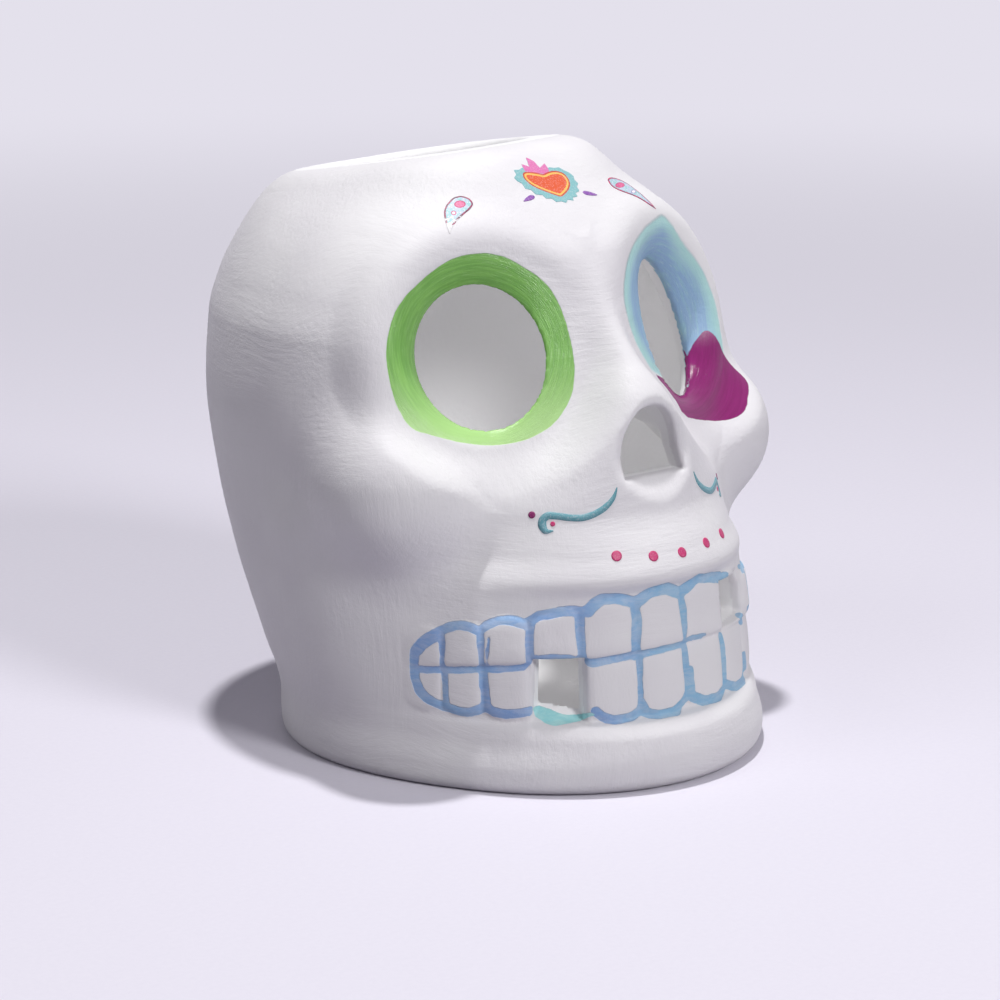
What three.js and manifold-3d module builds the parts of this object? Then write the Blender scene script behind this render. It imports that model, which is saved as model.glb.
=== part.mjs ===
// Painted ceramic skull with an open top, cast hollow in one piece.
// Millimetres. The face looks towards -Y, +Z is up and the skull is mirrored about X = 0.
// Heights are measured from the flat underside. An angle of 0 points to the front and
// positive angles turn towards +X, which is the skull's own left side.

import * as THREE from 'three';
import { mergeVertices } from 'three/addons/utils/BufferGeometryUtils.js';
import Module from 'manifold-3d';

const wasm = await Module();
wasm.setup();

// Driving dimensions of the head
const crownLevel = 153;
const headHalfWidth = 67.5;
const headBack = 80.5;
const faceReach = 52;
const chinReach = 72;
const jawHalfWidth = 58;
const noseRootLevel = 116;
const jawBlend = 8;
const baseRound = 2.5;

// Shell
const wall = 5.5;
const floorThickness = 6;

// Open top, cut by a plane that drops towards the back
const mouthRadius = 31;
const mouthLevelShare = 0.9294;
const mouthLevel = mouthLevelShare * crownLevel;
const mouthBack = 34;
const mouthTilt = THREE.MathUtils.degToRad(12);
const rimWidth = 6;
const rimRound = 2.5;
const throatDepth = 30;

// Eye sockets
const eyeSpread = 31.4;
const eyeReach = 27.5;
const eyeLevel = 103.8;
const eyeTurn = THREE.MathUtils.degToRad(21.5);
const eyeLift = THREE.MathUtils.degToRad(15.5);
const socketRadius = 23.4;
const socketDepth = 9;
const socketCrest = 1.2;

// Oval openings at the bottom of the sockets, turned further out than the sockets' edges
const openingSpread = 29.9;
const openingReach = 24.6;
const openingLevel = 101.5;
const openingTurn = THREE.MathUtils.degToRad(33);
const openingLift = THREE.MathUtils.degToRad(19);
const openingHalfWidth = 15.5;
const openingHalfHeight = 17.6;
const openingRoll = THREE.MathUtils.degToRad(-12);

// Nose
const noseHalfWidth = 9.5;
const noseSill = 73.5;
const noseHeight = 16.5;
const noseRound = 3;
const noseCrest = 0.6;
const noseDepth = 45;

// Teeth
const toothLine = 33.6;
const gumLine = 48.8;
const chinLine = 17;
const toothBulge = 1.1;
const toothScallop = 1.8;

// Cheekbones
const cheekRadius = 19.5;
const cheekInnerRadius = 11;
const cheekRearRadius = 9.5;
const cheekBlend = 10;

// Printed transfers, laid on the glaze
const transferGap = 0.3;
const transferFilm = 0.3;
const heartHalfWidth = 6.7;
const heartTurn = THREE.MathUtils.degToRad(15);
const dropWidth = 1.6;
const dropClearance = 0.6;
const paisleyWidth = 6.4;
const paisleyBend = 1.4;
const scrollWidth = 1.7;
const curlDotRadius = 0.7;
const cheekDotRadius = 0.95;
const lipDotRadius = 1.3;

const whiteGlaze = new THREE.MeshStandardMaterial({ color: 0xf1eff1, roughness: 0.62, metalness: 0 });
const heartPrint = new THREE.MeshStandardMaterial({ color: 0xe15a2d, roughness: 0.45, metalness: 0 });
const purplePrint = new THREE.MeshStandardMaterial({ color: 0x8246a0, roughness: 0.45, metalness: 0 });
const tealPrint = new THREE.MeshStandardMaterial({ color: 0x5f969f, roughness: 0.45, metalness: 0 });
const palePrint = new THREE.MeshStandardMaterial({ color: 0x9fc6cb, roughness: 0.45, metalness: 0 });
const pinkPrint = new THREE.MeshStandardMaterial({ color: 0xbe326e, roughness: 0.45, metalness: 0 });

// Head sections from the base to the crown, as shares of the driving dimensions:
// height, half width, reach behind, reach ahead, widest point behind the base centre.
// The last number of a row is the squareness of the section, where 2 is an ellipse.
const headShares = [
  [0.000, 0.87, 0.665, 1.010, 0.000, 2.00],
  [0.065, 0.87, 0.685, 0.962, 0.025, 2.00],
  [0.163, 0.904, 0.789, 0.885, 0.062, 2.00],
  [0.294, 0.948, 0.901, 0.788, 0.100, 2.05],
  [0.425, 0.978, 0.975, 0.712, 0.124, 2.10],
  [0.556, 1.000, 1.000, 0.654, 0.137, 2.15],
  [0.686, 0.970, 0.988, 0.663, 0.149, 2.20],
  [0.752, 0.911, 0.957, 0.654, 0.161, 2.25],
  [0.810, 0.830, 0.907, 0.596, 0.174, 2.30],
  [0.856, 0.733, 0.857, 0.481, 0.199, 2.40],
  [0.902, 0.600, 0.801, 0.337, 0.248, 2.50],
  [0.954, 0.452, 0.758, 0.173, 0.298, 3.00],
  [1.000, 0.341, 0.745, -0.096, 0.348, 3.00],
];

// Jaw, muzzle and nose ridge: height as a share of the nose root's, half width, reach ahead
const jawShares = [
  [0.000, 1.010, 0.985],
  [0.052, 1.000, 1.000],
  [0.121, 0.957, 0.965],
  [0.155, 0.957, 0.910],
  [0.293, 0.957, 0.890],
  [0.414, 0.931, 0.866],
  [0.491, 0.836, 0.893],
  [0.569, 0.819, 0.819],
  [0.638, 0.707, 0.792],
  [0.724, 0.552, 0.778],
  [0.793, 0.440, 0.743],
  [0.862, 0.330, 0.653],
  [0.931, 0.240, 0.583],
  [1.000, 0.180, 0.514],
];

// Cheekbone, from beside the nose past the outer corner below the eye to the side of the head
const cheekInnerShares = { across: 0.4, ahead: 0.46, up: 0.518 };
const cheekOuterShares = { across: 0.711, ahead: 0.327, up: 0.466 };
const cheekRearShares = { across: 0.85, ahead: 0.1, up: 0.415 };

// The sections are walked from an upright axis a little behind the base centre
const axisBack = 0.1 * headBack;
const jawBackShare = 0.7;

// Smooth monotone curve through a table, flat where the table turns
function makeTrend(places, values) {
  const last = places.length - 1;
  const steps = places.slice(1).map((place, i) => (values[i + 1] - values[i]) / (place - places[i]));
  const slopes = places.map((place, i) => {
    if (i === 0) return steps[0];
    if (i === last) return steps[last - 1];
    const before = steps[i - 1];
    const after = steps[i];
    if (before * after <= 0) return 0;
    return (2 * before * after) / (before + after);
  });
  return (place) => {
    const at = THREE.MathUtils.clamp(place, places[0], places[last]);
    let i = 0;
    while (i < last - 1 && at > places[i + 1]) i += 1;
    const span = places[i + 1] - places[i];
    const t = (at - places[i]) / span;
    const u = 1 - t;
    return values[i] * u * u * (1 + 2 * t) + values[i + 1] * t * t * (3 - 2 * t)
      + span * t * u * (slopes[i] * u - slopes[i + 1] * t);
  };
}

function trendOf(shares, column, levelSize, valueSize) {
  const places = shares.map((row) => row[0] * levelSize);
  const values = shares.map((row) => row[column] * valueSize);
  return makeTrend(places, values);
}

const headHalf = trendOf(headShares, 1, crownLevel, headHalfWidth);
const headRear = trendOf(headShares, 2, crownLevel, headBack);
const headAhead = trendOf(headShares, 3, crownLevel, faceReach);
const headMiddle = trendOf(headShares, 4, crownLevel, headBack);
const headSquare = trendOf(headShares, 5, crownLevel, 1);
const jawHalf = trendOf(jawShares, 1, noseRootLevel, jawHalfWidth);
const jawAhead = trendOf(jawShares, 2, noseRootLevel, chinReach);

// Smaller of two gaps, rounded where they meet
function softJoin(first, second, blend) {
  const near = Math.max(blend - Math.abs(first - second), 0) / blend;
  return Math.min(first, second) - 0.25 * near * near * blend;
}

// Distance from an oval section, measured out from its centre
function sectionGap(x, y, half, centre, ahead, behind, square) {
  const across = Math.abs(x) / half;
  const along = y < centre ? (centre - y) / ahead : (y - centre) / behind;
  const ratio = (along ** square + across ** square) ** (1 / square);
  return Math.hypot(x, y - centre) * (1 - 1 / Math.max(ratio, Number.EPSILON));
}

function headGap(x, y, level) {
  const middle = headMiddle(level);
  const ahead = middle + headAhead(level);
  const behind = headRear(level) - middle;
  return sectionGap(x, y, headHalf(level), middle, ahead, behind, headSquare(level));
}

function jawGap(x, y, level) {
  const ahead = jawAhead(level);
  const gap = sectionGap(x, y, jawHalf(level), 0, ahead, jawBackShare * ahead, 2);
  return Math.max(gap, level - noseRootLevel);
}

function cheekPoint({ across, ahead, up }) {
  return new THREE.Vector3(across * headHalfWidth, -ahead * faceReach, up * crownLevel);
}

// Round bar between two points, with a radius at each
function makeBar(start, end, startRadius, endRadius) {
  const bar = end.clone().sub(start);
  const from = new THREE.Vector3();
  return (x, y, level) => {
    from.set(Math.abs(x), y, level).sub(start);
    const t = THREE.MathUtils.clamp(from.dot(bar) / bar.lengthSq(), 0, 1);
    return from.addScaledVector(bar, -t).length() - THREE.MathUtils.lerp(startRadius, endRadius, t);
  };
}

const cheekOuter = cheekPoint(cheekOuterShares);
const frontCheek = makeBar(cheekPoint(cheekInnerShares), cheekOuter, cheekInnerRadius, cheekRadius);
const rearCheek = makeBar(cheekOuter, cheekPoint(cheekRearShares), cheekRadius, cheekRearRadius);

function cheekGap(x, y, level) {
  return Math.min(frontCheek(x, y, level), rearCheek(x, y, level));
}

function lookOf(turn, lift) {
  const level = Math.cos(lift);
  return new THREE.Vector3(Math.sin(turn) * level, -Math.cos(turn) * level, Math.sin(lift));
}

// Centre of the skull's left eye, and the direction that it looks in
const eyeCentre = new THREE.Vector3(eyeSpread, -eyeReach, eyeLevel);
const from = new THREE.Vector3();
const eyeLook = lookOf(eyeTurn, eyeLift);
const eyeFadeShares = { inner: 1.0, outer: 1.55 };

// The form is flat round each eye, so that the socket's edge lies in one plane
function flattenAtEye(gap, x, y, level) {
  from.set(Math.abs(x), y, level).sub(eyeCentre);
  const ahead = from.dot(eyeLook);
  const aside = Math.sqrt(Math.max(from.lengthSq() - ahead * ahead, 0));
  const start = eyeFadeShares.inner * socketRadius;
  const end = eyeFadeShares.outer * socketRadius;
  const keep = THREE.MathUtils.smoothstep(aside, start, end);
  const near = 1 - THREE.MathUtils.smoothstep(Math.abs(ahead), socketDepth, 3 * socketDepth);
  return THREE.MathUtils.lerp(gap, ahead, near * (1 - keep));
}

// Shallow scoop in the lip below the nose
const scoopShares = { width: 0.95, drop: 0.16, height: 0.24, depth: 0.16 };

function scoopDent(x, level) {
  const across = x / (scoopShares.width * noseHalfWidth);
  const up = (level - noseSill + scoopShares.drop * noseHeight) / (scoopShares.height * noseHeight);
  return scoopShares.depth * noseHeight * Math.exp(-across * across - up * up);
}

// Gap to the outer form, negative inside it
function formGap(x, y, level) {
  const head = softJoin(headGap(x, y, level), jawGap(x, y, level), jawBlend);
  const face = flattenAtEye(softJoin(head, cheekGap(x, y, level), cheekBlend), x, y, level);
  return y < 0 ? face + scoopDent(x, level) : face;
}

const walkSteps = 26;

// How far the form reaches from the axis at an angle and a level
function reachAt(angle, level) {
  let inside = 0;
  let outside = 2 * headBack;
  for (let i = 0; i < walkSteps; i += 1) {
    const reach = (inside + outside) / 2;
    const gap = formGap(reach * Math.sin(angle), axisBack - reach * Math.cos(angle), level);
    if (gap < 0) inside = reach;
    else outside = reach;
  }
  return (inside + outside) / 2;
}

function pointAt(angle, level, reach) {
  return new THREE.Vector3(reach * Math.sin(angle), axisBack - reach * Math.cos(angle), level);
}

// Teeth. Their edges are angles round the axis, from the skull's right to its left.
const upperEdges = [-59, -50.1, -41.4, -31.8, -22, -10.3, 0.6, 12.8, 25, 35, 44, 52, 59];
const lowerEdges = [-59, -50.1, -41.1, -31.6, -20.3, -10, 0.6, 12.5, 24, 35, 44, 52, 59];
const archEnd = upperEdges.at(-1);
// Change of each line's height towards the ends of the arch, and the power it follows
const chinRise = { share: 0.09, power: 2 };
const toothDrop = { share: 0.15, power: 1.6 };
const gumDrop = { share: 0.215, power: 1.3 };

function toothLevels(degrees) {
  const turn = Math.min(Math.abs(degrees) / archEnd, 1);
  return {
    chin: chinLine * (1 + chinRise.share * turn ** chinRise.power),
    middle: toothLine * (1 - toothDrop.share * turn ** toothDrop.power),
    gum: gumLine * (1 - gumDrop.share * turn ** gumDrop.power),
  };
}

function pillow(along, up) {
  if (along <= 0 || along >= 1 || up <= 0 || up >= 1) return 0;
  return Math.sqrt(Math.sin(Math.PI * along) * Math.sin(Math.PI * up));
}

// How far the teeth stand out of the form
function toothRelief(degrees, level) {
  if (Math.abs(degrees) >= archEnd) return 0;
  const lines = toothLevels(degrees);
  const upper = level > lines.middle;
  const edges = upper ? upperEdges : lowerEdges;
  const i = edges.findIndex((edge) => edge > degrees) - 1;
  const along = (degrees - edges[i]) / (edges[i + 1] - edges[i]);
  const arch = toothScallop * (1 - Math.sin(Math.PI * along));
  const end = upper ? lines.gum - arch : lines.chin + arch;
  return toothBulge * pillow(along, (level - lines.middle) / (end - lines.middle));
}

// Closed solid through rings of points, capped at both ends. Each four-sided patch is
// folded along the diagonal with the smaller misfit, which is its length by default.
function loftSolid(rings, misfit = (first, second) => first.distanceTo(second)) {
  const count = rings[0].length;
  const positions = [];
  const indices = [];
  const points = rings.flat();
  points.forEach((point) => positions.push(point.x, point.y, point.z));
  for (let ring = 0; ring < rings.length - 1; ring += 1) {
    for (let i = 0; i < count; i += 1) {
      const a = ring * count + i;
      const b = ring * count + ((i + 1) % count);
      if (misfit(points[a], points[b + count]) <= misfit(points[b], points[a + count])) {
        indices.push(a, b, b + count, a, b + count, a + count);
      } else {
        indices.push(a, b, a + count, b, b + count, a + count);
      }
    }
  }
  [0, rings.length - 1].forEach((ring) => {
    const middle = new THREE.Vector3();
    rings[ring].forEach((point) => middle.add(point));
    middle.divideScalar(count);
    const centre = positions.length / 3;
    positions.push(middle.x, middle.y, middle.z);
    for (let i = 0; i < count; i += 1) {
      const a = ring * count + i;
      const b = ring * count + ((i + 1) % count);
      if (ring === 0) indices.push(centre, b, a);
      else indices.push(centre, a, b);
    }
  });
  const geometry = new THREE.BufferGeometry();
  geometry.setAttribute('position', new THREE.Float32BufferAttribute(positions, 3));
  geometry.setIndex(indices);
  return geometry;
}

// Facets finer than this are dropped where solids cut each other
const facetTolerance = 0.02;

function solidOf(geometry) {
  const plain = geometry.clone();
  plain.deleteAttribute('normal');
  plain.deleteAttribute('uv');
  const merged = mergeVertices(plain);
  const solid = new wasm.Manifold(new wasm.Mesh({
    numProp: 3,
    vertProperties: new Float32Array(merged.attributes.position.array),
    triVerts: new Uint32Array(merged.index.array),
    tolerance: facetTolerance,
  }));
  if (solid.volume() < 0) throw new Error('a solid is inside out');
  return solid;
}

function geometryOf(solid) {
  const mesh = solid.getMesh();
  const geometry = new THREE.BufferGeometry();
  geometry.setAttribute('position', new THREE.Float32BufferAttribute(mesh.vertProperties, 3));
  geometry.setIndex(Array.from(mesh.triVerts));
  geometry.computeVertexNormals();
  return geometry;
}

// Columns of the outer skin: four to each tooth, wider ones over the cheeks and the back.
// Those of the teeth spread out evenly above the gums.
const toothColumnShares = [0, 0.14, 0.5, 0.86];
const cheekEnd = 100;
const cheekColumns = 12;
const backColumns = 14;
const spreadShare = 0.3;

function skinColumns() {
  const columns = [];
  const teeth = upperEdges.length - 1;
  const even = (first, last, count, i) => first + (i * (last - first)) / count;
  for (let i = 0; i < teeth; i += 1) {
    const width = upperEdges[i + 1] - upperEdges[i];
    toothColumnShares.forEach((share, j) => {
      const place = i * toothColumnShares.length + j;
      columns.push({
        low: upperEdges[i] + share * width,
        high: even(-archEnd, archEnd, teeth * toothColumnShares.length, place),
      });
    });
  }
  const addEven = (first, last, count) => {
    for (let i = 0; i < count; i += 1) {
      const degrees = even(first, last, count, i);
      columns.push({ low: degrees, high: degrees });
    }
  };
  addEven(archEnd, cheekEnd, cheekColumns);
  addEven(cheekEnd, 360 - cheekEnd, backColumns);
  addEven(360 - cheekEnd, 360 - archEnd, cheekColumns);
  return columns;
}

// Angle of a column at a level, in degrees
function columnAngle({ low, high }, level) {
  const { gum } = toothLevels(low);
  const spread = THREE.MathUtils.smoothstep(level, gum, gum * (1 + spreadShare));
  return THREE.MathUtils.lerp(low, high, spread);
}

// Rows of the outer skin: a rounded base edge, rows that follow the teeth, then even rows
const chinRowShares = [1 / 3, 2 / 3];
const toothRowShares = [0, 0.16, 0.5, 0.84, 1];
const baseRoundSteps = 3;
const rimRoundSteps = 3;
const upperRows = 25;

// Height of the tilted mouth plane above a point
function mouthPlane(y) {
  return mouthLevel - Math.tan(mouthTilt) * (y - mouthBack);
}

// Level at which the form meets the mouth plane at an angle
function rimLevel(angle) {
  let low = gumLine;
  let high = crownLevel;
  for (let i = 0; i < walkSteps; i += 1) {
    const level = (low + high) / 2;
    if (level < mouthPlane(axisBack - reachAt(angle, level) * Math.cos(angle))) low = level;
    else high = level;
  }
  return low;
}

function skinLevels({ low, high }) {
  const lines = toothLevels(low);
  const rim = rimLevel(THREE.MathUtils.degToRad(high));
  const rows = [];
  for (let i = 0; i <= baseRoundSteps; i += 1) {
    const turn = (i / baseRoundSteps) * (Math.PI / 2);
    rows.push({ level: baseRound * (1 - Math.cos(turn)), inset: baseRound * (1 - Math.sin(turn)) });
  }
  chinRowShares.forEach((share) => {
    rows.push({ level: THREE.MathUtils.lerp(baseRound, lines.chin, share), inset: 0 });
  });
  toothRowShares.forEach((share) => {
    rows.push({ level: THREE.MathUtils.lerp(lines.chin, lines.middle, share), inset: 0 });
  });
  toothRowShares.slice(1).forEach((share) => {
    rows.push({ level: THREE.MathUtils.lerp(lines.middle, lines.gum, share), inset: 0 });
  });
  for (let i = 1; i <= upperRows; i += 1) {
    const level = THREE.MathUtils.lerp(lines.gum, rim - rimRound, i / upperRows);
    rows.push({ level, inset: 0 });
  }
  for (let i = 1; i <= rimRoundSteps; i += 1) {
    const turn = (i / rimRoundSteps) * (Math.PI / 2);
    rows.push({
      level: rim - rimRound * (1 - Math.sin(turn)),
      inset: rimRound * (1 - Math.cos(turn)),
    });
  }
  return rows;
}

// How far the middle of a diagonal lies off the toothed form
function skinMisfit(first, second) {
  const { x, y, z } = first.clone().lerp(second, 1 / 2);
  const degrees = THREE.MathUtils.radToDeg(Math.atan2(x, axisBack - y));
  return Math.abs(formGap(x, y, z) - toothRelief(degrees, z));
}

function outerSkin() {
  const columns = skinColumns().map((column) => skinLevels(column).map(({ level, inset }) => {
    const degrees = columnAngle(column, level);
    const angle = THREE.MathUtils.degToRad(degrees);
    const reach = reachAt(angle, level) + toothRelief(degrees, level) - inset;
    return pointAt(angle, level, reach);
  }));
  return loftSolid(columns[0].map((point, row) => columns.map((column) => column[row])), skinMisfit);
}

// Inner face of the wall, set in along the form's own slope
const cavityColumns = 48;
const cavityRows = 20;
const slopeStepShare = 0.02;

function innerReach(angle, level) {
  const step = slopeStepShare * crownLevel;
  const turnStep = step / headBack;
  const reach = reachAt(angle, level);
  const climb = (reachAt(angle, level + step) - reachAt(angle, level - step)) / (2 * step);
  const turned = reachAt(angle + turnStep, level) - reachAt(angle - turnStep, level);
  const swing = turned / (2 * turnStep * reach);
  return reach - wall * Math.sqrt(1 + climb * climb + swing * swing);
}

function cavitySolid() {
  const columns = [];
  for (let i = 0; i < cavityColumns; i += 1) {
    const angle = (2 * Math.PI * i) / cavityColumns;
    const top = rimLevel(angle) - 2 * wall;
    const column = [];
    for (let row = 0; row <= cavityRows; row += 1) {
      const level = THREE.MathUtils.lerp(floorThickness, top, row / cavityRows);
      column.push(pointAt(angle, level, innerReach(angle, level)));
    }
    columns.push(column);
  }
  return solidOf(loftSolid(columns[0].map((point, row) => columns.map((column) => column[row]))));
}

// Places a solid of revolution with its axis through a point, along a direction
function placeTurned(geometry, centre, direction) {
  const turn = new THREE.Quaternion().setFromUnitVectors(new THREE.Vector3(0, 1, 0), direction);
  geometry.applyQuaternion(turn);
  geometry.translate(centre.x, centre.y, centre.z);
  return geometry;
}

const roundSegments = 40;
const roundSteps = 6;

function mirrored(vector, side) {
  return new THREE.Vector3(side * vector.x, vector.y, vector.z);
}

// The lip's rounding runs on a little past the rim, so that no thin facets are left there
const lipRise = 1.12;

// Throat below the rim, rounded at the lip and open to the hollow
function throatSolid() {
  const inner = mouthRadius - rimWidth;
  const profile = [new THREE.Vector2(0, -throatDepth), new THREE.Vector2(inner, -throatDepth)];
  for (let i = 0; i <= rimRoundSteps; i += 1) {
    const turn = (i / rimRoundSteps) * (Math.PI / 2);
    const out = rimRound * (1 - Math.cos(turn));
    profile.push(new THREE.Vector2(inner + out, rimRound * (lipRise * Math.sin(turn) - 1)));
  }
  profile.push(new THREE.Vector2(inner + rimRound, wall), new THREE.Vector2(0, wall));
  const direction = new THREE.Vector3(0, Math.sin(mouthTilt), Math.cos(mouthTilt));
  const centre = new THREE.Vector3(0, mouthBack, mouthLevel);
  return solidOf(placeTurned(new THREE.LatheGeometry(profile, roundSegments), centre, direction));
}

const openingCentre = new THREE.Vector3(openingSpread, -openingReach, openingLevel);
const openingLook = lookOf(openingTurn, openingLift);

// Oval about a centre, square to a direction. It is mirrored for the skull's right side.
function ovalRing(centre, look, halfWidth, halfHeight, roll, side) {
  const across = new THREE.Vector3(-look.y, look.x, 0).normalize();
  const up = new THREE.Vector3().crossVectors(look, across);
  const ring = [];
  for (let i = 0; i < roundSegments; i += 1) {
    const turn = (-side * 2 * Math.PI * i) / roundSegments;
    const wide = halfWidth * Math.cos(turn);
    const tall = halfHeight * Math.sin(turn);
    const point = centre.clone();
    point.addScaledVector(across, wide * Math.cos(roll) - tall * Math.sin(roll));
    point.addScaledVector(up, wide * Math.sin(roll) + tall * Math.cos(roll));
    point.x *= side;
    ring.push(point);
  }
  return ring;
}

function edgeRing(out, spread, side) {
  const centre = eyeCentre.clone().addScaledVector(eyeLook, out);
  return ovalRing(centre, eyeLook, socketRadius + spread, socketRadius + spread, 0, side);
}

function openingRing(out, spread, side) {
  const centre = openingCentre.clone().addScaledVector(openingLook, out);
  const halfWidth = openingHalfWidth + spread;
  return ovalRing(centre, openingLook, halfWidth, openingHalfHeight + spread, openingRoll, side);
}

// Funnel of one socket: it rolls over from the face into the turned oval opening,
// and flares again behind it
function socketCutter(side) {
  const look = mirrored(openingLook, side);
  const edge = edgeRing(socketCrest, 0, side);
  const opening = openingRing(0, 0, side);
  const rings = [edgeRing(2 * socketDepth, socketDepth, side), edge];
  for (let step = roundSteps - 1; step >= 0; step -= 1) {
    const turn = (step / roundSteps) * (Math.PI / 2);
    rings.push(opening.map((point, i) => {
      const away = edge[i].clone().sub(point);
      const rise = away.dot(look);
      away.addScaledVector(look, -rise).multiplyScalar(1 - Math.cos(turn));
      return point.clone().add(away).addScaledVector(look, rise * Math.sin(turn));
    }));
  }
  rings.push(openingRing(-wall, wall / 2, side), openingRing(-2 * socketDepth, wall / 2, side));
  return solidOf(loftSolid(rings));
}

// Thick collar that carries the funnel inside the wall
function socketCollar(side) {
  return solidOf(loftSolid([
    edgeRing(wall, wall, side),
    edgeRing(-wall, wall, side),
    openingRing(-wall / 3, wall, side),
  ]));
}

// Arch of the nose opening, bigger by a margin
const noseArchShares = { across: 0.8, up: 0.9 };
const noseArchSteps = 14;
const sillDropShare = 0.25;

function noseOutline(margin) {
  const half = noseHalfWidth + margin;
  const height = noseHeight + margin;
  const points = [];
  for (let i = 0; i <= noseArchSteps; i += 1) {
    const turn = (Math.PI * i) / noseArchSteps;
    const across = Math.sign(Math.cos(turn)) * Math.abs(Math.cos(turn)) ** noseArchShares.across;
    points.push([half * across, height * Math.sin(turn) ** noseArchShares.up]);
  }
  return points;
}

// How far ahead the form lies at a place on the face
function aheadAt(x, level) {
  let inside = -axisBack;
  let outside = 2 * headBack;
  for (let i = 0; i < walkSteps; i += 1) {
    const ahead = (inside + outside) / 2;
    if (formGap(x, -ahead, level) < 0) inside = ahead;
    else outside = ahead;
  }
  return inside;
}

// The nose opening's rounded edge follows the face
function noseCutter() {
  const ringOf = (margin, out) => noseOutline(margin).map(([x, rise]) => {
    const level = noseSill - sillDropShare * margin + rise;
    return new THREE.Vector3(x, -aheadAt(x, level) - out, level);
  });
  const rings = [noseOutline(0).map(([x, rise]) => {
    return new THREE.Vector3(x, noseDepth - aheadAt(0, noseSill), noseSill + rise);
  })];
  for (let i = 0; i <= roundSteps; i += 1) {
    const turn = (i / roundSteps) * (Math.PI / 2);
    const out = (noseRound + noseCrest) * Math.sin(turn) - noseRound;
    rings.push(ringOf(noseRound * (1 - Math.cos(turn)), out));
  }
  rings.push(ringOf(2 * noseRound, noseDepth / 2));
  return solidOf(loftSolid(rings));
}

// Depths of a slot's rings behind the face, as shares of the wall
const slotDepthShares = { inside: 4, back: 1, face: 0.2, outside: -1 };

// Slot where a tooth is missing: edges as angles, levels at the face and inside the wall
function gapCutter({ faceEdges, innerEdges, faceLevels, innerLevels }) {
  const middle = THREE.MathUtils.degToRad((faceEdges[0] + faceEdges[1]) / 2);
  const face = reachAt(middle, toothLine);
  const ringOf = (edges, levels, depthShare) => {
    const corners = [
      [edges[0], levels[0]], [edges[1], levels[0]], [edges[1], levels[1]], [edges[0], levels[1]],
    ];
    const reach = face - depthShare * wall;
    return corners.map(([degrees, level]) => pointAt(THREE.MathUtils.degToRad(degrees), level, reach));
  };
  const rings = [
    ringOf(innerEdges, innerLevels, slotDepthShares.inside),
    ringOf(innerEdges, innerLevels, slotDepthShares.back),
    ringOf(faceEdges, faceLevels, slotDepthShares.face),
    ringOf(faceEdges, faceLevels, slotDepthShares.outside),
  ];
  return solidOf(loftSolid(rings));
}

// Levels of the slots as shares of the lines below and above them, at the face and inside
const lowerGapShares = { face: [1.03, 0.985], inside: [1.26, 0.965] };
const upperGapShares = { face: [1, 0.94], inside: [1.03, 0.92] };

function slotLevels([lowShare, highShare], low, high) {
  return [lowShare * low, highShare * high];
}

const lowerGap = {
  faceEdges: [-31.4, -20.4],
  innerEdges: [-28.8, -20.6],
  faceLevels: slotLevels(lowerGapShares.face, chinLine, toothLine),
  innerLevels: slotLevels(lowerGapShares.inside, chinLine, toothLine),
};
const upperGap = {
  faceEdges: [12.9, 25],
  innerEdges: [14, 24],
  faceLevels: slotLevels(upperGapShares.face, toothLine, gumLine),
  innerLevels: slotLevels(upperGapShares.inside, toothLine, gumLine),
};

function skullShell() {
  let hollow = cavitySolid().add(throatSolid());
  [-1, 1].forEach((side) => {
    hollow = hollow.subtract(socketCollar(side));
  });
  let shell = solidOf(outerSkin()).subtract(hollow);
  [-1, 1].forEach((side) => {
    shell = shell.subtract(socketCutter(side));
  });
  shell = shell.subtract(noseCutter());
  [lowerGap, upperGap].forEach((gap) => {
    shell = shell.subtract(gapCutter(gap));
  });
  return geometryOf(shell);
}

// Places of the transfers: shares of the head's half width across and of its height up.
// A tear runs from its head to its tip, and a scroll from beside the nose to its curl.
const heartPlaceShares = { across: 0.002, up: 0.915 };
// The drops lie beside the heart: shares of its half width out past the clearance, and down
const dropOffsetShares = {
  right: { head: { out: 0.95, down: 0.39 }, tip: { out: 1.58, down: 0.51 } },
  left: { head: { out: 1.09, down: 0.43 }, tip: { out: 1.79, down: 0.61 } },
};
const paisleyPlaceShares = {
  right: { head: { across: 0.373, up: 0.906 }, tip: { across: 0.502, up: 0.85 } },
  left: { head: { across: 0.311, up: 0.911 }, tip: { across: 0.473, up: 0.847 } },
};
const scrollPlaceShares = [
  { across: 0.196, up: 0.466 },
  { across: 0.213, up: 0.454 },
  { across: 0.274, up: 0.4405 },
  { across: 0.339, up: 0.4314 },
  { across: 0.391, up: 0.4346 },
  { across: 0.428, up: 0.4346 },
  { across: 0.446, up: 0.4222 },
  { across: 0.434, up: 0.4111 },
  { across: 0.41, up: 0.4137 },
];
const curlDotPlaceShares = { across: 0.409, up: 0.4232 };
const cheekDotPlaceShares = { across: 0.455, up: 0.4353 };
const lipDotPlaceShares = [
  { across: -0.255, up: 0.375 },
  { across: -0.123, up: 0.369 },
  { across: 0, up: 0.368 },
  { across: 0.13, up: 0.371 },
  { across: 0.244, up: 0.376 },
];

// Outward direction of the form at a point
const probeShare = 0.0002;

function slopeAt(point) {
  const probe = probeShare * crownLevel;
  const { x, y, z } = point;
  return new THREE.Vector3(
    formGap(x + probe, y, z) - formGap(x - probe, y, z),
    formGap(x, y + probe, z) - formGap(x, y - probe, z),
    formGap(x, y, z + probe) - formGap(x, y, z - probe),
  ).divideScalar(2 * probe);
}

// Moves a point onto the form
const settleSteps = 6;

function settle(point) {
  for (let i = 0; i < settleSteps; i += 1) {
    const slope = slopeAt(point);
    point.addScaledVector(slope, -formGap(point.x, point.y, point.z) / slope.lengthSq());
  }
  return point;
}

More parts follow.
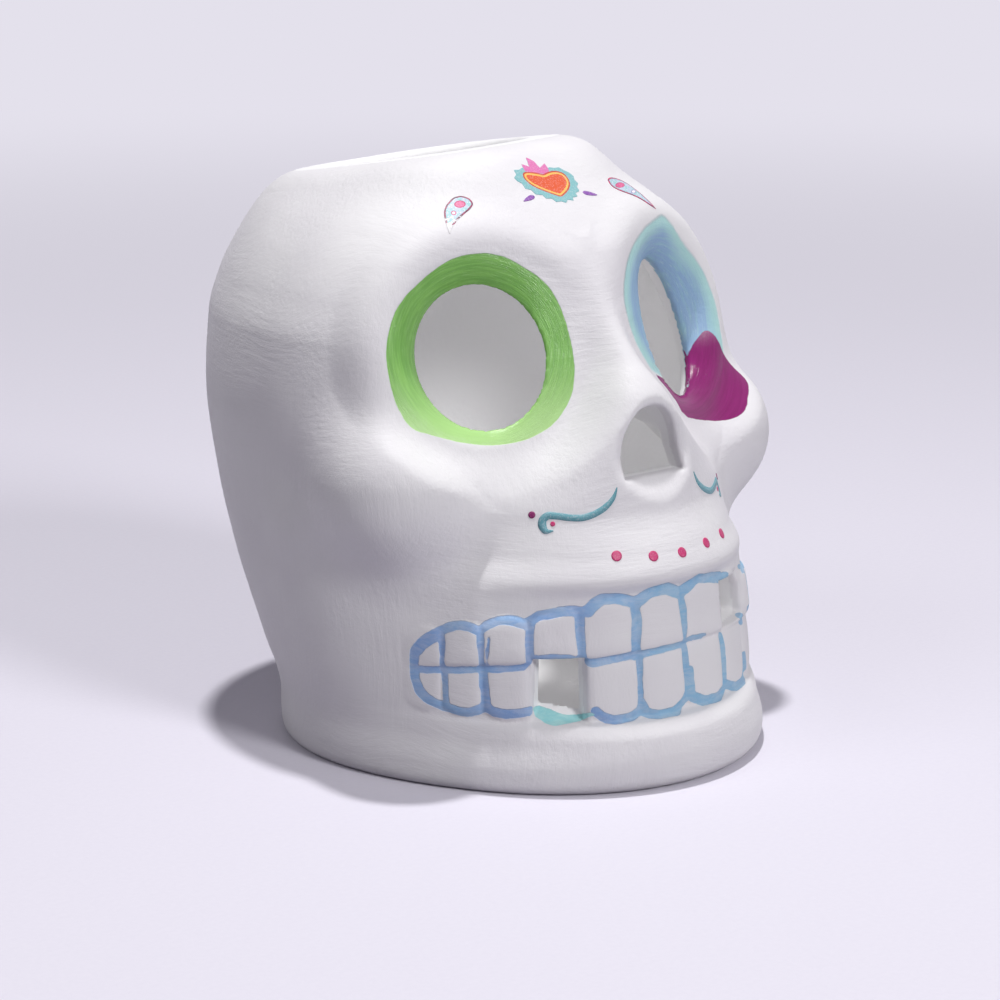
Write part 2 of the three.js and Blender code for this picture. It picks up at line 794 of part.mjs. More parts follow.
// Place on the front of the form, from shares of the head's half width and of its height
function placeOn({ across, up }, side) {
  const x = side * across * headHalfWidth;
  const level = up * crownLevel;
  return new THREE.Vector3(x, -aheadAt(x, level), level);
}

function besideHeart({ out, down }, side) {
  const heart = placeOn(heartPlaceShares, 1);
  const x = heart.x + side * (dropClearance + out * heartHalfWidth);
  const level = heart.z - down * heartHalfWidth;
  return new THREE.Vector3(x, -aheadAt(x, level), level);
}

// Thin film over an outline drawn in the plane that touches the form at an anchor.
// It has rings of points between its middle and its edge, to follow the form.
function filmOver(outline, anchor, direction, rings) {
  const out = slopeAt(anchor).normalize();
  const across = direction.clone().projectOnPlane(out).normalize();
  const up = new THREE.Vector3().crossVectors(out, across);
  const under = [];
  const over = [];
  for (let ring = 1; ring <= rings; ring += 1) {
    const share = ring / rings;
    const points = outline.map((corner) => {
      const point = anchor.clone();
      point.addScaledVector(across, share * corner.x).addScaledVector(up, share * corner.y);
      return settle(point);
    });
    const lifted = (height) => points.map((point) => {
      return point.clone().addScaledVector(slopeAt(point).normalize(), height);
    });
    under.push(lifted(transferGap));
    over.unshift(lifted(transferGap + transferFilm));
  }
  return loftSolid([...under, ...over]);
}

// Round dot
const dotCorners = 12;
const dotRings = 1;

function dotFilm(radius, place, side) {
  const corners = [];
  for (let i = 0; i < dotCorners; i += 1) {
    const turn = (2 * Math.PI * i) / dotCorners;
    corners.push(new THREE.Vector2(radius * Math.cos(turn), radius * Math.sin(turn)));
  }
  return filmOver(corners, placeOn(place, side), new THREE.Vector3(1, 0, 0), dotRings);
}

// Tear shape from its round head to its point, which is bent to one side
const tearCorners = 20;
const tearRings = 2;
const tearPeak = 4 / (3 * Math.sqrt(3));

function tearFilm(head, tip, width, bend) {
  const start = head.clone();
  const direction = start.clone().sub(tip);
  const length = direction.length();
  const anchor = settle(start.clone().addScaledVector(direction, -1 / 2));
  const corners = [];
  for (let i = 0; i < tearCorners; i += 1) {
    const turn = Math.PI * ((2 * i) / tearCorners - 1);
    const along = Math.cos(turn) / 2;
    const wide = (Math.sin(turn) * Math.cos(turn / 2)) / (2 * tearPeak);
    const tail = (1 / 2 - along) ** 2;
    corners.push(new THREE.Vector2(length * along, width * wide + bend * tail));
  }
  return filmOver(corners, anchor, direction, tearRings);
}

// Heart with a scalloped border and a flame of three tongues over its notch.
// Rows: degrees from upright, reach as a share of the heart's half width.
const heartShares = [
  [0, 1.25], [9, 0.92], [17, 1.1], [26, 0.78], [40, 0.98],
  [60, 1.17], [79, 1.24], [97, 1.08], [137, 0.82], [180, 1.05],
];
const scallopShares = { start: 30, count: 20, depth: 0.09 };
const heartCorners = 60;
const heartRings = 3;

function heartFilm(place, side) {
  const reachOf = makeTrend(heartShares.map((row) => row[0]), heartShares.map((row) => row[1]));
  const corners = [];
  for (let i = 0; i < heartCorners; i += 1) {
    const turn = (360 * i) / heartCorners;
    const aside = Math.min(turn, 360 - turn);
    const wave = Math.abs(Math.sin(THREE.MathUtils.degToRad((scallopShares.count * aside) / 2)));
    const scallop = aside > scallopShares.start ? scallopShares.depth * wave : 0;
    const reach = heartHalfWidth * (reachOf(aside) + scallop);
    const angle = THREE.MathUtils.degToRad(turn + 90) + heartTurn;
    corners.push(new THREE.Vector2(reach * Math.cos(angle), reach * Math.sin(angle)));
  }
  return filmOver(corners, placeOn(place, side), new THREE.Vector3(1, 0, 0), heartRings);
}

// Flat ribbon along a path of places, narrow at its ends
const ribbonSteps = 28;
const ribbonTrend = makeTrend([0, 0.12, 0.45, 0.75, 0.9, 1], [0.25, 0.6, 1, 0.75, 0.5, 0.3]);

function ribbonAlong(places, side) {
  const path = new THREE.CatmullRomCurve3(places.map((place) => placeOn(place, side)));
  const rings = [];
  for (let i = 0; i <= ribbonSteps; i += 1) {
    const share = i / ribbonSteps;
    const point = settle(path.getPoint(share));
    const out = slopeAt(point).normalize();
    const aside = new THREE.Vector3().crossVectors(path.getTangent(share), out).normalize();
    const half = (scrollWidth / 2) * ribbonTrend(share);
    rings.push([[0, -1], [1, -1], [1, 1], [0, 1]].map(([layer, edge]) => {
      const height = transferGap + layer * transferFilm;
      return point.clone().addScaledVector(aside, edge * half).addScaledVector(out, height);
    }));
  }
  return loftSolid(rings);
}

const skull = new THREE.Group();

function addPiece(name, geometry, material) {
  const mesh = new THREE.Mesh(geometry, material);
  mesh.name = name;
  skull.add(mesh);
}

addPiece('skull_shell', skullShell(), whiteGlaze);
addPiece('heart_transfer', heartFilm(heartPlaceShares, 1), heartPrint);
[['right', -1], ['left', 1]].forEach(([name, side]) => {
  const dropEnds = dropOffsetShares[name];
  const drop = tearFilm(besideHeart(dropEnds.head, side), besideHeart(dropEnds.tip, side), dropWidth, 0);
  const { head, tip } = paisleyPlaceShares[name];
  const paisley = tearFilm(placeOn(head, side), placeOn(tip, side), paisleyWidth, side * paisleyBend);
  addPiece(`drop_transfer_${name}`, drop, purplePrint);
  addPiece(`paisley_transfer_${name}`, paisley, palePrint);
  addPiece(`scroll_transfer_${name}`, ribbonAlong(scrollPlaceShares, side), tealPrint);
  addPiece(`curl_dot_${name}`, dotFilm(curlDotRadius, curlDotPlaceShares, side), pinkPrint);
  addPiece(`cheek_dot_${name}`, dotFilm(cheekDotRadius, cheekDotPlaceShares, side), pinkPrint);
});
lipDotPlaceShares.forEach((place, i) => {
  addPiece(`lip_dot_${i + 1}`, dotFilm(lipDotRadius, place, 1), pinkPrint);
});

// The origin is under the middle of the whole length
skull.position.y = (chinReach - headBack) / 2;

export default skull;
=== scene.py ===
import math

import bpy
import numpy as np
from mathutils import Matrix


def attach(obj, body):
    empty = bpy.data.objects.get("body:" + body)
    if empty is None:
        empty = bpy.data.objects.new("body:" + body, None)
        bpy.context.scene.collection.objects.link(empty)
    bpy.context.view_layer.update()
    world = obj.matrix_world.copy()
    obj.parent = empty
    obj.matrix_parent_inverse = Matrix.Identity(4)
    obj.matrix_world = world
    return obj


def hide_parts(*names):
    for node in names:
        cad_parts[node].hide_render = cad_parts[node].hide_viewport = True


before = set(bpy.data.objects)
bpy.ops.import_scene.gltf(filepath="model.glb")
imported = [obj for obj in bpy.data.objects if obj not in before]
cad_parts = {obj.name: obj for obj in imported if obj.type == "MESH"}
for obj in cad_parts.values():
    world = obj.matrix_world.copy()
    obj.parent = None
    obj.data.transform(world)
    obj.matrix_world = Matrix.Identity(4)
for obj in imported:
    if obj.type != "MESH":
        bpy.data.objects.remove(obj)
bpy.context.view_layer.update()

import openvdb
from mathutils import Matrix, Vector

MM = 0.001
SHIFT = -4.25  # the face's base centre lies this far ahead of the row's origin

# Camera
FOCAL = 3200.0  # pixels, for an image of 1000 by 1000
EYE = np.array([-509.3, -603.4, 253.7])


def aim(azimuth, elevation):
    a, e = math.radians(azimuth), math.radians(elevation)
    return np.array([math.sin(a) * math.cos(e), -math.cos(a) * math.cos(e), math.sin(e)])


BACK = aim(-40, 14)
RIGHT = np.array([math.cos(math.radians(-40)), math.sin(math.radians(-40)), 0.0])
UP = np.cross(BACK, RIGHT)


def new_object(name, data):
    obj = bpy.data.objects.new(name, data)
    bpy.context.scene.collection.objects.link(obj)
    return obj


cam_data = bpy.data.cameras.new("camera")
cam_data.sensor_width = 36
cam_data.lens = FOCAL / 1000 * 36
cam_data.clip_start = 0.01
cam_data.clip_end = 20
camera = new_object("camera", cam_data)
turn = Matrix((RIGHT, UP, BACK)).transposed().to_4x4()
camera.matrix_world = Matrix.Translation(Vector((EYE + [0, SHIFT, 0]) * MM)) @ turn
bpy.context.scene.camera = camera


def rays(pixels):
    p = np.asarray(pixels, float)
    d = -BACK + np.outer((p[:, 0] - 500) / FOCAL, RIGHT) - np.outer((p[:, 1] - 500) / FOCAL, UP)
    return d / np.linalg.norm(d, axis=1)[:, None]


# Form of the head
CROWN, HEAD_HALF, HEAD_BACK, FACE, CHIN, JAW_HALF, NOSE_ROOT = 153.0, 67.5, 80.5, 52.0, 72.0, 58.0, 116.0
WALL, FLOOR = 5.5, 6.0
AXIS = 0.1 * HEAD_BACK

# share of the crown's level, half width, back, front and middle, and how square the section is
HEAD_ROWS = np.array([
    [0.000, 0.87, 0.665, 1.010, 0.000, 2.00],
    [0.065, 0.87, 0.685, 0.962, 0.025, 2.00],
    [0.163, 0.904, 0.789, 0.885, 0.062, 2.00],
    [0.294, 0.948, 0.901, 0.788, 0.100, 2.05],
    [0.425, 0.978, 0.975, 0.712, 0.124, 2.10],
    [0.556, 1.000, 1.000, 0.654, 0.137, 2.15],
    [0.686, 0.970, 0.988, 0.663, 0.149, 2.20],
    [0.752, 0.911, 0.957, 0.654, 0.161, 2.25],
    [0.810, 0.830, 0.907, 0.596, 0.174, 2.30],
    [0.856, 0.733, 0.857, 0.481, 0.199, 2.40],
    [0.902, 0.600, 0.801, 0.337, 0.248, 2.50],
    [0.954, 0.452, 0.758, 0.173, 0.298, 3.00],
    [1.000, 0.341, 0.745, -0.096, 0.348, 3.00],
])
# share of the nose root's level, half width and front
JAW_ROWS = np.array([
    [0.000, 1.010, 0.985],
    [0.052, 1.000, 1.000],
    [0.112, 0.960, 0.985],
    [0.140, 0.957, 0.955],
    [0.153, 0.957, 0.913],
    [0.293, 0.957, 0.890],
    [0.405, 0.931, 0.872],
    [0.440, 0.890, 0.902],
    [0.491, 0.836, 0.868],
    [0.569, 0.815, 0.805],
    [0.638, 0.707, 0.792],
    [0.724, 0.552, 0.778],
    [0.793, 0.440, 0.743],
    [0.862, 0.330, 0.653],
    [0.931, 0.235, 0.565],
    [1.000, 0.150, 0.455],
    [1.070, 0.100, 0.340],
])


def hermite(places, values, at):
    """Monotone curve through a table, flat where the table turns."""
    steps = np.diff(values) / np.diff(places)
    slopes = np.concatenate([steps[:1], np.zeros(len(steps) - 1), steps[-1:]])
    same = steps[:-1] * steps[1:] > 0
    inner = np.where(same, 2 * steps[:-1] * steps[1:] / np.where(same, steps[:-1] + steps[1:], 1), 0)
    slopes[1:-1] = inner
    at = np.clip(at, places[0], places[-1])
    i = np.clip(np.searchsorted(places, at, side="right") - 1, 0, len(places) - 2)
    span = places[i + 1] - places[i]
    t = (at - places[i]) / span
    u = 1 - t
    return (values[i] * u * u * (1 + 2 * t) + values[i + 1] * t * t * (3 - 2 * t)
            + span * t * u * (slopes[i] * u - slopes[i + 1] * t))


LEVELS = np.arange(-10.0, 175.0, 0.2)


def column(rows, i, size, level_size):
    return hermite(rows[:, 0] * level_size, rows[:, i] * size, LEVELS)


HEAD = [column(HEAD_ROWS, i, size, CROWN)
        for i, size in ((1, HEAD_HALF), (2, HEAD_BACK), (3, FACE), (4, HEAD_BACK), (5, 1))]
JAW = [column(JAW_ROWS, 1, JAW_HALF, NOSE_ROOT), column(JAW_ROWS, 2, CHIN, NOSE_ROOT)]


def soft_min(a, b, k):
    near = np.maximum(k - np.abs(a - b), 0) / k
    return np.minimum(a, b) - 0.25 * near * near * k


def soft_max(a, b, k):
    return -soft_min(-a, -b, k)


def smooth(t, low, high):
    s = np.clip((t - low) / (high - low), 0, 1)
    return s * s * (3 - 2 * s)


def oval(x, y, half, centre, ahead, behind, square):
    along = np.where(y < centre, (centre - y) / ahead, (y - centre) / behind)
    ratio = (along ** square + (np.abs(x) / half) ** square) ** (1 / square)
    return np.hypot(x, y - centre) * (1 - 1 / np.maximum(ratio, 1e-6))


JAW_BLEND, CHEEK_BLEND, BRIDGE_ROUND = 8.0, 12.0, 2.2
JAW_TOP = 1.07 * NOSE_ROOT
# the cheekbone: two bars from the nose to the side, with a radius at each end
CHEEK_RADII = (11.0, 19.5, 5.0)
CHEEK_IN = np.array([0.4 * HEAD_HALF, -0.46 * FACE, 0.518 * CROWN])
CHEEK_OUT = np.array([0.711 * HEAD_HALF, -0.327 * FACE, 0.466 * CROWN])
CHEEK_REAR = np.array([0.84 * HEAD_HALF, 0.115 * FACE, 0.4 * CROWN])


def facing(azimuth, elevation):
    """Axes of a plane: the way it looks, across and up."""
    look = aim(azimuth, elevation)
    across = np.array([math.cos(math.radians(azimuth)), math.sin(math.radians(azimuth)), 0.0])
    up = np.cross(look, across)
    return look, across, up * np.sign(up[2])


# the plane of the left socket's edge, and the oval opening behind it
EYE_AT = np.array([31.4, -27.5, 103.8])
EYE_LOOK, EYE_ACROSS, EYE_UP = facing(21.5, 15.5)
EYE_RADIUS, EYE_DEPTH = 23.4, 9.0
HOLE_AT = np.array([29.9, -24.6, 101.5])
HOLE_LOOK, HOLE_ACROSS, HOLE_UP = facing(33, 19)
HOLE_HALF = (15.5, 17.6)
HOLE_ROLL = math.radians(12)


def bar_gap(x, y, z, start, end, start_radius, end_radius):
    """Gap to a round bar between two points, with a radius at each."""
    bar = end - start
    t = np.clip(((x - start[0]) * bar[0] + (y - start[1]) * bar[1] + (z - start[2]) * bar[2]) / (bar @ bar), 0, 1)
    away = np.sqrt((x - start[0] - t * bar[0]) ** 2 + (y - start[1] - t * bar[1]) ** 2
                   + (z - start[2] - t * bar[2]) ** 2)
    return away - (start_radius + t * (end_radius - start_radius))


def form(x, y, z):
    """Gap to the smooth head: negative inside it."""
    head = [np.interp(z, LEVELS, c) for c in HEAD]
    middle = head[3]
    gap = oval(x, y, head[0], middle, middle + head[2], head[1] - middle, head[4])
    ahead = np.interp(z, LEVELS, JAW[1])
    jaw = np.maximum(oval(x, y, np.interp(z, LEVELS, JAW[0]), 0.0, ahead, 0.7 * ahead, 2.0), z - JAW_TOP)
    gap = soft_min(gap, jaw, JAW_BLEND)
    ax = np.abs(x)
    cheek = np.minimum(bar_gap(ax, y, z, CHEEK_IN, CHEEK_OUT, *CHEEK_RADII[:2]),
                       bar_gap(ax, y, z, CHEEK_OUT, CHEEK_REAR, *CHEEK_RADII[1:]))
    gap = soft_min(gap, cheek, CHEEK_BLEND)
    # the flats round the two eyes meet in a rounded bridge
    ax = np.hypot(x, BRIDGE_ROUND)
    ex, ey, ez = ax - EYE_AT[0], y - EYE_AT[1], z - EYE_AT[2]
    out = ex * EYE_LOOK[0] + ey * EYE_LOOK[1] + ez * EYE_LOOK[2]
    aside = np.sqrt(np.maximum(ex * ex + ey * ey + ez * ez - out * out, 0))
    keep = smooth(aside, EYE_RADIUS, 1.55 * EYE_RADIUS)
    near = (1 - smooth(np.abs(out), EYE_DEPTH, 3 * EYE_DEPTH)) * (1 - keep)
    return gap + (out - gap) * near


def distance(x, y, z):
    """The gap as a true distance near the surface, with its direction."""
    h = 0.4
    gap = form(x, y, z)
    gx = (form(x + h, y, z) - gap) / h
    gy = (form(x, y + h, z) - gap) / h
    gz = (form(x, y, z + h) - gap) / h
    size = np.maximum(np.sqrt(gx * gx + gy * gy + gz * gz), 0.2)
    return np.where(gap < -20, gap, gap / size)


# Teeth, nose, sockets and gaps
# angles round the arch at which the teeth meet
UPPER = np.array([-59, -50.1, -41.4, -31.8, -22, -10.3, 0.6, 12.8, 25, 35, 44, 52, 59.0])
LOWER = np.array([-59, -50.1, -41.1, -31.6, -20.3, -10, 0.6, 12.5, 24, 35, 44, 52, 59.0])
ARCH_END = 59.0
GUM, BITE, CHIN_LINE = 48.8, 33.6, 17.0


def tooth_lines(theta):
    t = np.minimum(np.abs(theta) / ARCH_END, 1)
    return (CHIN_LINE * (1 + 0.09 * t * t), BITE * (1 - 0.15 * t ** 1.6), GUM * (1 - 0.215 * t ** 1.3))


def relief(x, y, z):
    """How far the teeth stand out of the smooth face."""
    theta = np.degrees(np.arctan2(x, AXIS - y))
    low, bite, gum = tooth_lines(theta)
    upper = z > bite
    rise = np.zeros_like(z)
    for edges, on in ((UPPER, upper), (LOWER, ~upper)):
        i = np.clip(np.searchsorted(edges, theta, side="right") - 1, 0, len(edges) - 2)
        along = (theta - edges[i]) / (edges[i + 1] - edges[i])
        arch = 1.8 * (1 - np.sin(np.pi * np.clip(along, 0, 1)))
        end = np.where(upper, gum - arch, low + arch)
        up = (z - bite) / (end - bite)
        inside = (along > 0) & (along < 1) & (up > 0) & (up < 1) & on
        # flat-topped pillow with rounded sides
        a = 1 - np.abs(2 * np.clip(along, 0, 1) - 1) ** 3.2
        b = 1 - np.abs(2 * np.clip(up, 0, 1) - 1) ** 4
        rise = np.where(inside, 1.25 * np.sqrt(a * b), rise)
    step = np.tanh((z - bite) / 0.5) * np.exp(-((z - bite) / 6.0) ** 2) * 0.45
    arch_fade = 1 - smooth(np.abs(theta), 45, 60)
    return rise * (1 - 0.8 * smooth(np.abs(theta), 42, 60)) + step * arch_fade


def hole_ellipse(ax, y, z):
    """Radial distance to the eye opening's oval, and the height over its plane."""
    px, py, pz = ax - HOLE_AT[0], y - HOLE_AT[1], z - HOLE_AT[2]
    h = px * HOLE_LOOK[0] + py * HOLE_LOOK[1] + pz * HOLE_LOOK[2]
    u = px * HOLE_ACROSS[0] + py * HOLE_ACROSS[1]
    v = px * HOLE_UP[0] + py * HOLE_UP[1] + pz * HOLE_UP[2]
    c, s = math.cos(HOLE_ROLL), math.sin(HOLE_ROLL)
    u, v = u * c - v * s, u * s + v * c
    ratio = np.sqrt((u / HOLE_HALF[0]) ** 2 + (v / HOLE_HALF[1]) ** 2)
    return np.hypot(u, v) * (1 - 1 / np.maximum(ratio, 1e-3)), h


def eye_plane(ax, y, z):
    px, py, pz = ax - EYE_AT[0], y - EYE_AT[1], z - EYE_AT[2]
    u = px * EYE_ACROSS[0] + py * EYE_ACROSS[1]
    v = px * EYE_UP[0] + py * EYE_UP[1] + pz * EYE_UP[2]
    return u, v


def opening_rim():
    """Turn, reach and depth of the eye opening's rim, seen in the plane of the socket's edge."""
    turns = np.linspace(0, 2 * np.pi, 181)
    c, s = math.cos(HOLE_ROLL), math.sin(HOLE_ROLL)
    wide, tall = HOLE_HALF[0] * np.cos(turns), HOLE_HALF[1] * np.sin(turns)
    rim = HOLE_AT + np.outer(wide * c + tall * s, HOLE_ACROSS) + np.outer(-wide * s + tall * c, HOLE_UP)
    u, v = eye_plane(rim[:, 0], rim[:, 1], rim[:, 2])
    depth = np.maximum(-((rim - EYE_AT) @ EYE_LOOK), 0.4)
    turn = np.arctan2(v, u)[:-1]
    order = np.argsort(turn)
    return turn[order], np.hypot(u, v)[:-1][order], depth[:-1][order]


RIM_TURN, RIM_REACH, RIM_DEPTH = opening_rim()


def socket_sink(x, y, z, softness):
    """How deep the face sinks into the sockets."""
    u, v = eye_plane(np.abs(x), y, z)
    phi = np.arctan2(v, u)
    reach = np.interp(phi, RIM_TURN, RIM_REACH, period=2 * np.pi)
    depth = np.interp(phi, RIM_TURN, RIM_DEPTH, period=2 * np.pi)
    s = np.clip((np.hypot(u, v) - reach) / (EYE_RADIUS + 0.8 - reach), 0, 1)
    q = 1 - np.sin(np.pi / 2 * s) ** softness
    out = (np.abs(x) - EYE_AT[0]) * EYE_LOOK[0] + (y - EYE_AT[1]) * EYE_LOOK[1] + (z - EYE_AT[2]) * EYE_LOOK[2]
    return depth * q * (1 - smooth(-out, 14, 24))


# roundings, and the throat under the open top
OUTER_SOCKET, INNER_SOCKET = 0.8, 1.4
RIM_ROUND, FOOT_ROUND, FLOOR_ROUND, LIP_ROUND = 4.0, 3.5, 8.0, 2.4
THROAT_RADIUS, THROAT_DEPTH = 25.5, 30.0
MOUTH_AT = np.array([0.0, 34.0, 142.2])
# the cast rim dips a little towards the skull's front right
MOUTH_UP = np.array([-0.0386, math.sin(math.radians(12)) - 0.046, math.cos(math.radians(12))])
MOUTH_UP /= np.linalg.norm(MOUTH_UP)
NOSE_SILL, NOSE_HALF, NOSE_HIGH = 73.5, 9.5, 16.5


def nose_recess(x, z):
    up = np.where(z > 79, (z - 79) / 13.8, (79 - z) / 11.6)
    across = np.abs(x) / np.interp(z, [66, 74, 84, 92], [11.5, 12.8, 11.5, 8.5])
    e = np.sqrt(up * up + across * across)
    deep = np.interp(z, [66, 72, 78, 92], [1.5, 2.6, 3.4, 3.2])
    return deep * (1 - smooth(e, 0.52, 1.05))


def nose_hole(x, z):
    up = np.maximum(z - NOSE_SILL, 0)
    p = ((np.abs(x) / NOSE_HALF) ** 2.5 + (up / NOSE_HIGH) ** 2.2) ** 0.425
    radial = np.hypot(x, up) * (1 - 1 / np.maximum(p, 1e-3))
    return np.maximum(radial, NOSE_SILL - z)


GAPS = (
    # edge angles and levels at the face, then at the inside
    ((-31.4, -20.5, 17.3, 33.2), (-28.8, -20.7, 21.6, 32.4)),
    ((12.9, 25.0, 33.4, 45.6), (14.2, 24.0, 34.6, 44.8)),
)
GAP_FRONTS = (68.5, 72.5)  # how far the face is from the arch's axis there


def gap_cut(theta, reach, z, face, faces):
    t = np.clip((face - reach) / WALL, 0, 1)
    left, right, low, high = (a + t * (b - a) for a, b in zip(*faces))
    per = np.radians(1) * np.maximum(reach, 20)
    return np.maximum(np.maximum((left - theta) * per, (theta - right) * per), np.maximum(low - z, z - high))


def outer(x, y, z):
    """Outside of the shell before anything is cut through it."""
    d = distance(x, y, z)
    front = y < 12
    d = d - np.where(front & (z < 54) & (z > 14), relief(x, y, z), 0)
    d = d + np.where(front & (np.abs(x) < 16), nose_recess(x, z), 0)
    return d


def solid(x, y, z):
    d = outer(x, y, z)
    face = d + socket_sink(x, y, z, OUTER_SOCKET)
    above = x * MOUTH_UP[0] + (y - MOUTH_AT[1]) * MOUTH_UP[1] + (z - MOUTH_AT[2]) * MOUTH_UP[2]
    skin = soft_max(face, above, RIM_ROUND)
    skin = soft_max(skin, -z, FOOT_ROUND)
    # the hollow follows the outside, a wall's thickness in
    smooth_out = distance(x, y, z) + np.where((y < 12) & (np.abs(x) < 16), nose_recess(x, z), 0)
    hollow = smooth_out + socket_sink(x, y, z, INNER_SOCKET) + WALL
    hollow = soft_max(hollow, FLOOR - z, FLOOR_ROUND)
    hollow = soft_max(hollow, above + WALL, 3.0)
    back = (y - MOUTH_AT[1]) * MOUTH_UP[2] - (z - MOUTH_AT[2]) * MOUTH_UP[1]
    throat = np.maximum(np.sqrt(x * x + back ** 2) - THROAT_RADIUS, -above - THROAT_DEPTH)
    hollow = soft_min(hollow, throat, RIM_ROUND)
    shell = soft_max(skin, -hollow, LIP_ROUND)
    e, h = hole_ellipse(np.abs(x), y, z)
    eye = np.maximum(e + 0.75 * np.minimum(h, 0), -h - 20)
    shell = soft_max(shell, -eye, 0.5)
    nose = np.where((y < -18) & (np.abs(x) < 20), nose_hole(x, z), 20.0)
    shell = soft_max(shell, -nose, 0.9)
    theta = np.degrees(np.arctan2(x, AXIS - y))
    reach = np.hypot(x, AXIS - y)
    for faces, front in zip(GAPS, GAP_FRONTS):
        cut = gap_cut(theta, reach, z, front, faces)
        cut = np.where((y < -15) & (reach > 30), cut, 20.0)
        shell = soft_max(shell, -cut, 0.7)
    return shell


# Places on the face by pixel
def painted(x, y, z):
    """Gap to the outside with its sockets."""
    return outer(x, y, z) + socket_sink(x, y, z, OUTER_SOCKET)


def on_face(pixels):
    """Points where rays through the photograph's pixels meet the outside."""
    def gap(x, y, z):
        return np.where(z < 0, 9.0, painted(x, y, z))

    d = rays(pixels)
    t = np.linspace(620.0, 900.0, 281)
    p = EYE + d[:, None, :] * t[None, :, None]
    g = gap(p[..., 0], p[..., 1], p[..., 2])
    hit = g < 0
    first = np.argmax(hit, axis=1)
    missed = ~hit.any(axis=1)
    first[missed] = np.argmin(g[missed], axis=1)
    low, high = t[np.maximum(first - 1, 0)], t[first]
    for _ in range(14):
        mid = (low + high) / 2
        q = EYE + d * mid[:, None]
        inside = gap(q[:, 0], q[:, 1], q[:, 2]) < 0
        high = np.where(inside, mid, high)
        low = np.where(inside, low, mid)
    high[missed] = t[first[missed]]
    return EYE + d * high[:, None]


def settle(points, lift=0.0):
    """Moves points to a height over the outside."""
    p = np.array(points, float)
    h = 0.15
    for _ in range(5):
        x, y, z = p.T
        g = outer(x, y, z)
        n = np.stack([outer(x + h, y, z) - outer(x - h, y, z), outer(x, y + h, z) - outer(x, y - h, z),
                      outer(x, y, z + h) - outer(x, y, z - h)], 1) / (2 * h)
        size = np.linalg.norm(n, axis=1)[:, None]
        n = n / size
        p = p - n * ((g - lift) / size[:, 0])[:, None] * 0.9
    return p, n


# Shell mesh
VOXEL = 0.7
BLOCK = 6


def shell_mesh():
    low = np.array([-70.0, -80.0, -3.0])
    high = np.array([70.0, 84.0, 153.0])
    count = np.ceil((high - low) / VOXEL / BLOCK).astype(int)
    size = BLOCK * VOXEL
    centres = [low[i] + size * (np.arange(count[i]) + 0.5) for i in range(3)]
    X, Y, Z = np.meshgrid(*centres, indexing="ij")
    coarse = solid(X.ravel(), Y.ravel(), Z.ravel()).reshape(X.shape)
    grid_shape = tuple(count * BLOCK)
    field = np.repeat(np.repeat(np.repeat(np.where(coarse > 0, 3.0, -3.0), BLOCK, 0), BLOCK, 1), BLOCK, 2)
    field = field.astype(np.float32)
    live = np.argwhere(np.abs(coarse) < size * 1.25)
    local = (np.arange(BLOCK) + 0.5) * VOXEL
    lx, ly, lz = np.meshgrid(local, local, local, indexing="ij")
    for start in range(0, len(live), 2000):
        part = live[start:start + 2000]
        base = low + part * size
        x = base[:, 0, None] + lx.ravel()[None]
        y = base[:, 1, None] + ly.ravel()[None]
        z = base[:, 2, None] + lz.ravel()[None]
        values = np.clip(solid(x, y, z), -3, 3).astype(np.float32)
        for (i, j, k), block in zip(part, values):
            field[i * BLOCK:(i + 1) * BLOCK, j * BLOCK:(j + 1) * BLOCK, k * BLOCK:(k + 1) * BLOCK] = \
                block.reshape(BLOCK, BLOCK, BLOCK)
    grid = openvdb.FloatGrid(3.0)
    grid.copyFromArray(field)
    points, quads = grid.convertToQuads(0.0)
    points = low + (points.astype(float) + 0.5) * VOXEL
    # slide the points onto the surface, and a little along it towards even spacing
    h = 0.12
    for _ in range(2):
        x, y, z = points.T
        g = solid(x, y, z)
        n = np.stack([solid(x + h, y, z) - g, solid(x, y + h, z) - g, solid(x, y, z + h) - g], 1) / h
        size2 = np.maximum((n * n).sum(1), 0.05)
        move = -n * (g / size2)[:, None]
        length = np.linalg.norm(move, axis=1)[:, None]
        points = points + move * np.minimum(1, 0.35 / np.maximum(length, 1e-9))
    return points, quads[:, ::-1]


def make_object(name, points, faces):
    mesh = bpy.data.meshes.new(name)
    faces = np.asarray(faces)
    mesh.vertices.add(len(points))
    mesh.vertices.foreach_set("co", ((points + [0, SHIFT, 0]) * MM).astype(np.float32).ravel())
    n = faces.shape[1]
    mesh.loops.add(faces.size)
    mesh.loops.foreach_set("vertex_index", faces.astype(np.int32).ravel())
    mesh.polygons.add(len(faces))
    mesh.polygons.foreach_set("loop_start", np.arange(0, faces.size, n, dtype=np.int32))
    mesh.update(calc_edges=True)
    mesh.validate()
    mesh.polygons.foreach_set("use_smooth", [True] * len(mesh.polygons))
    return new_object(name, mesh)


def attribute(obj, name, values):
    a = obj.data.attributes.new(name, "FLOAT", "POINT")
    a.data.foreach_set("value", np.asarray(values, np.float32))


# Brushed paint, drawn by pixel
def crop(left, top, scale):
    """Turns places in an enlarged crop of the photograph into its pixels."""
    return lambda points: [(left + x / scale, top + y / scale) for x, y in points]


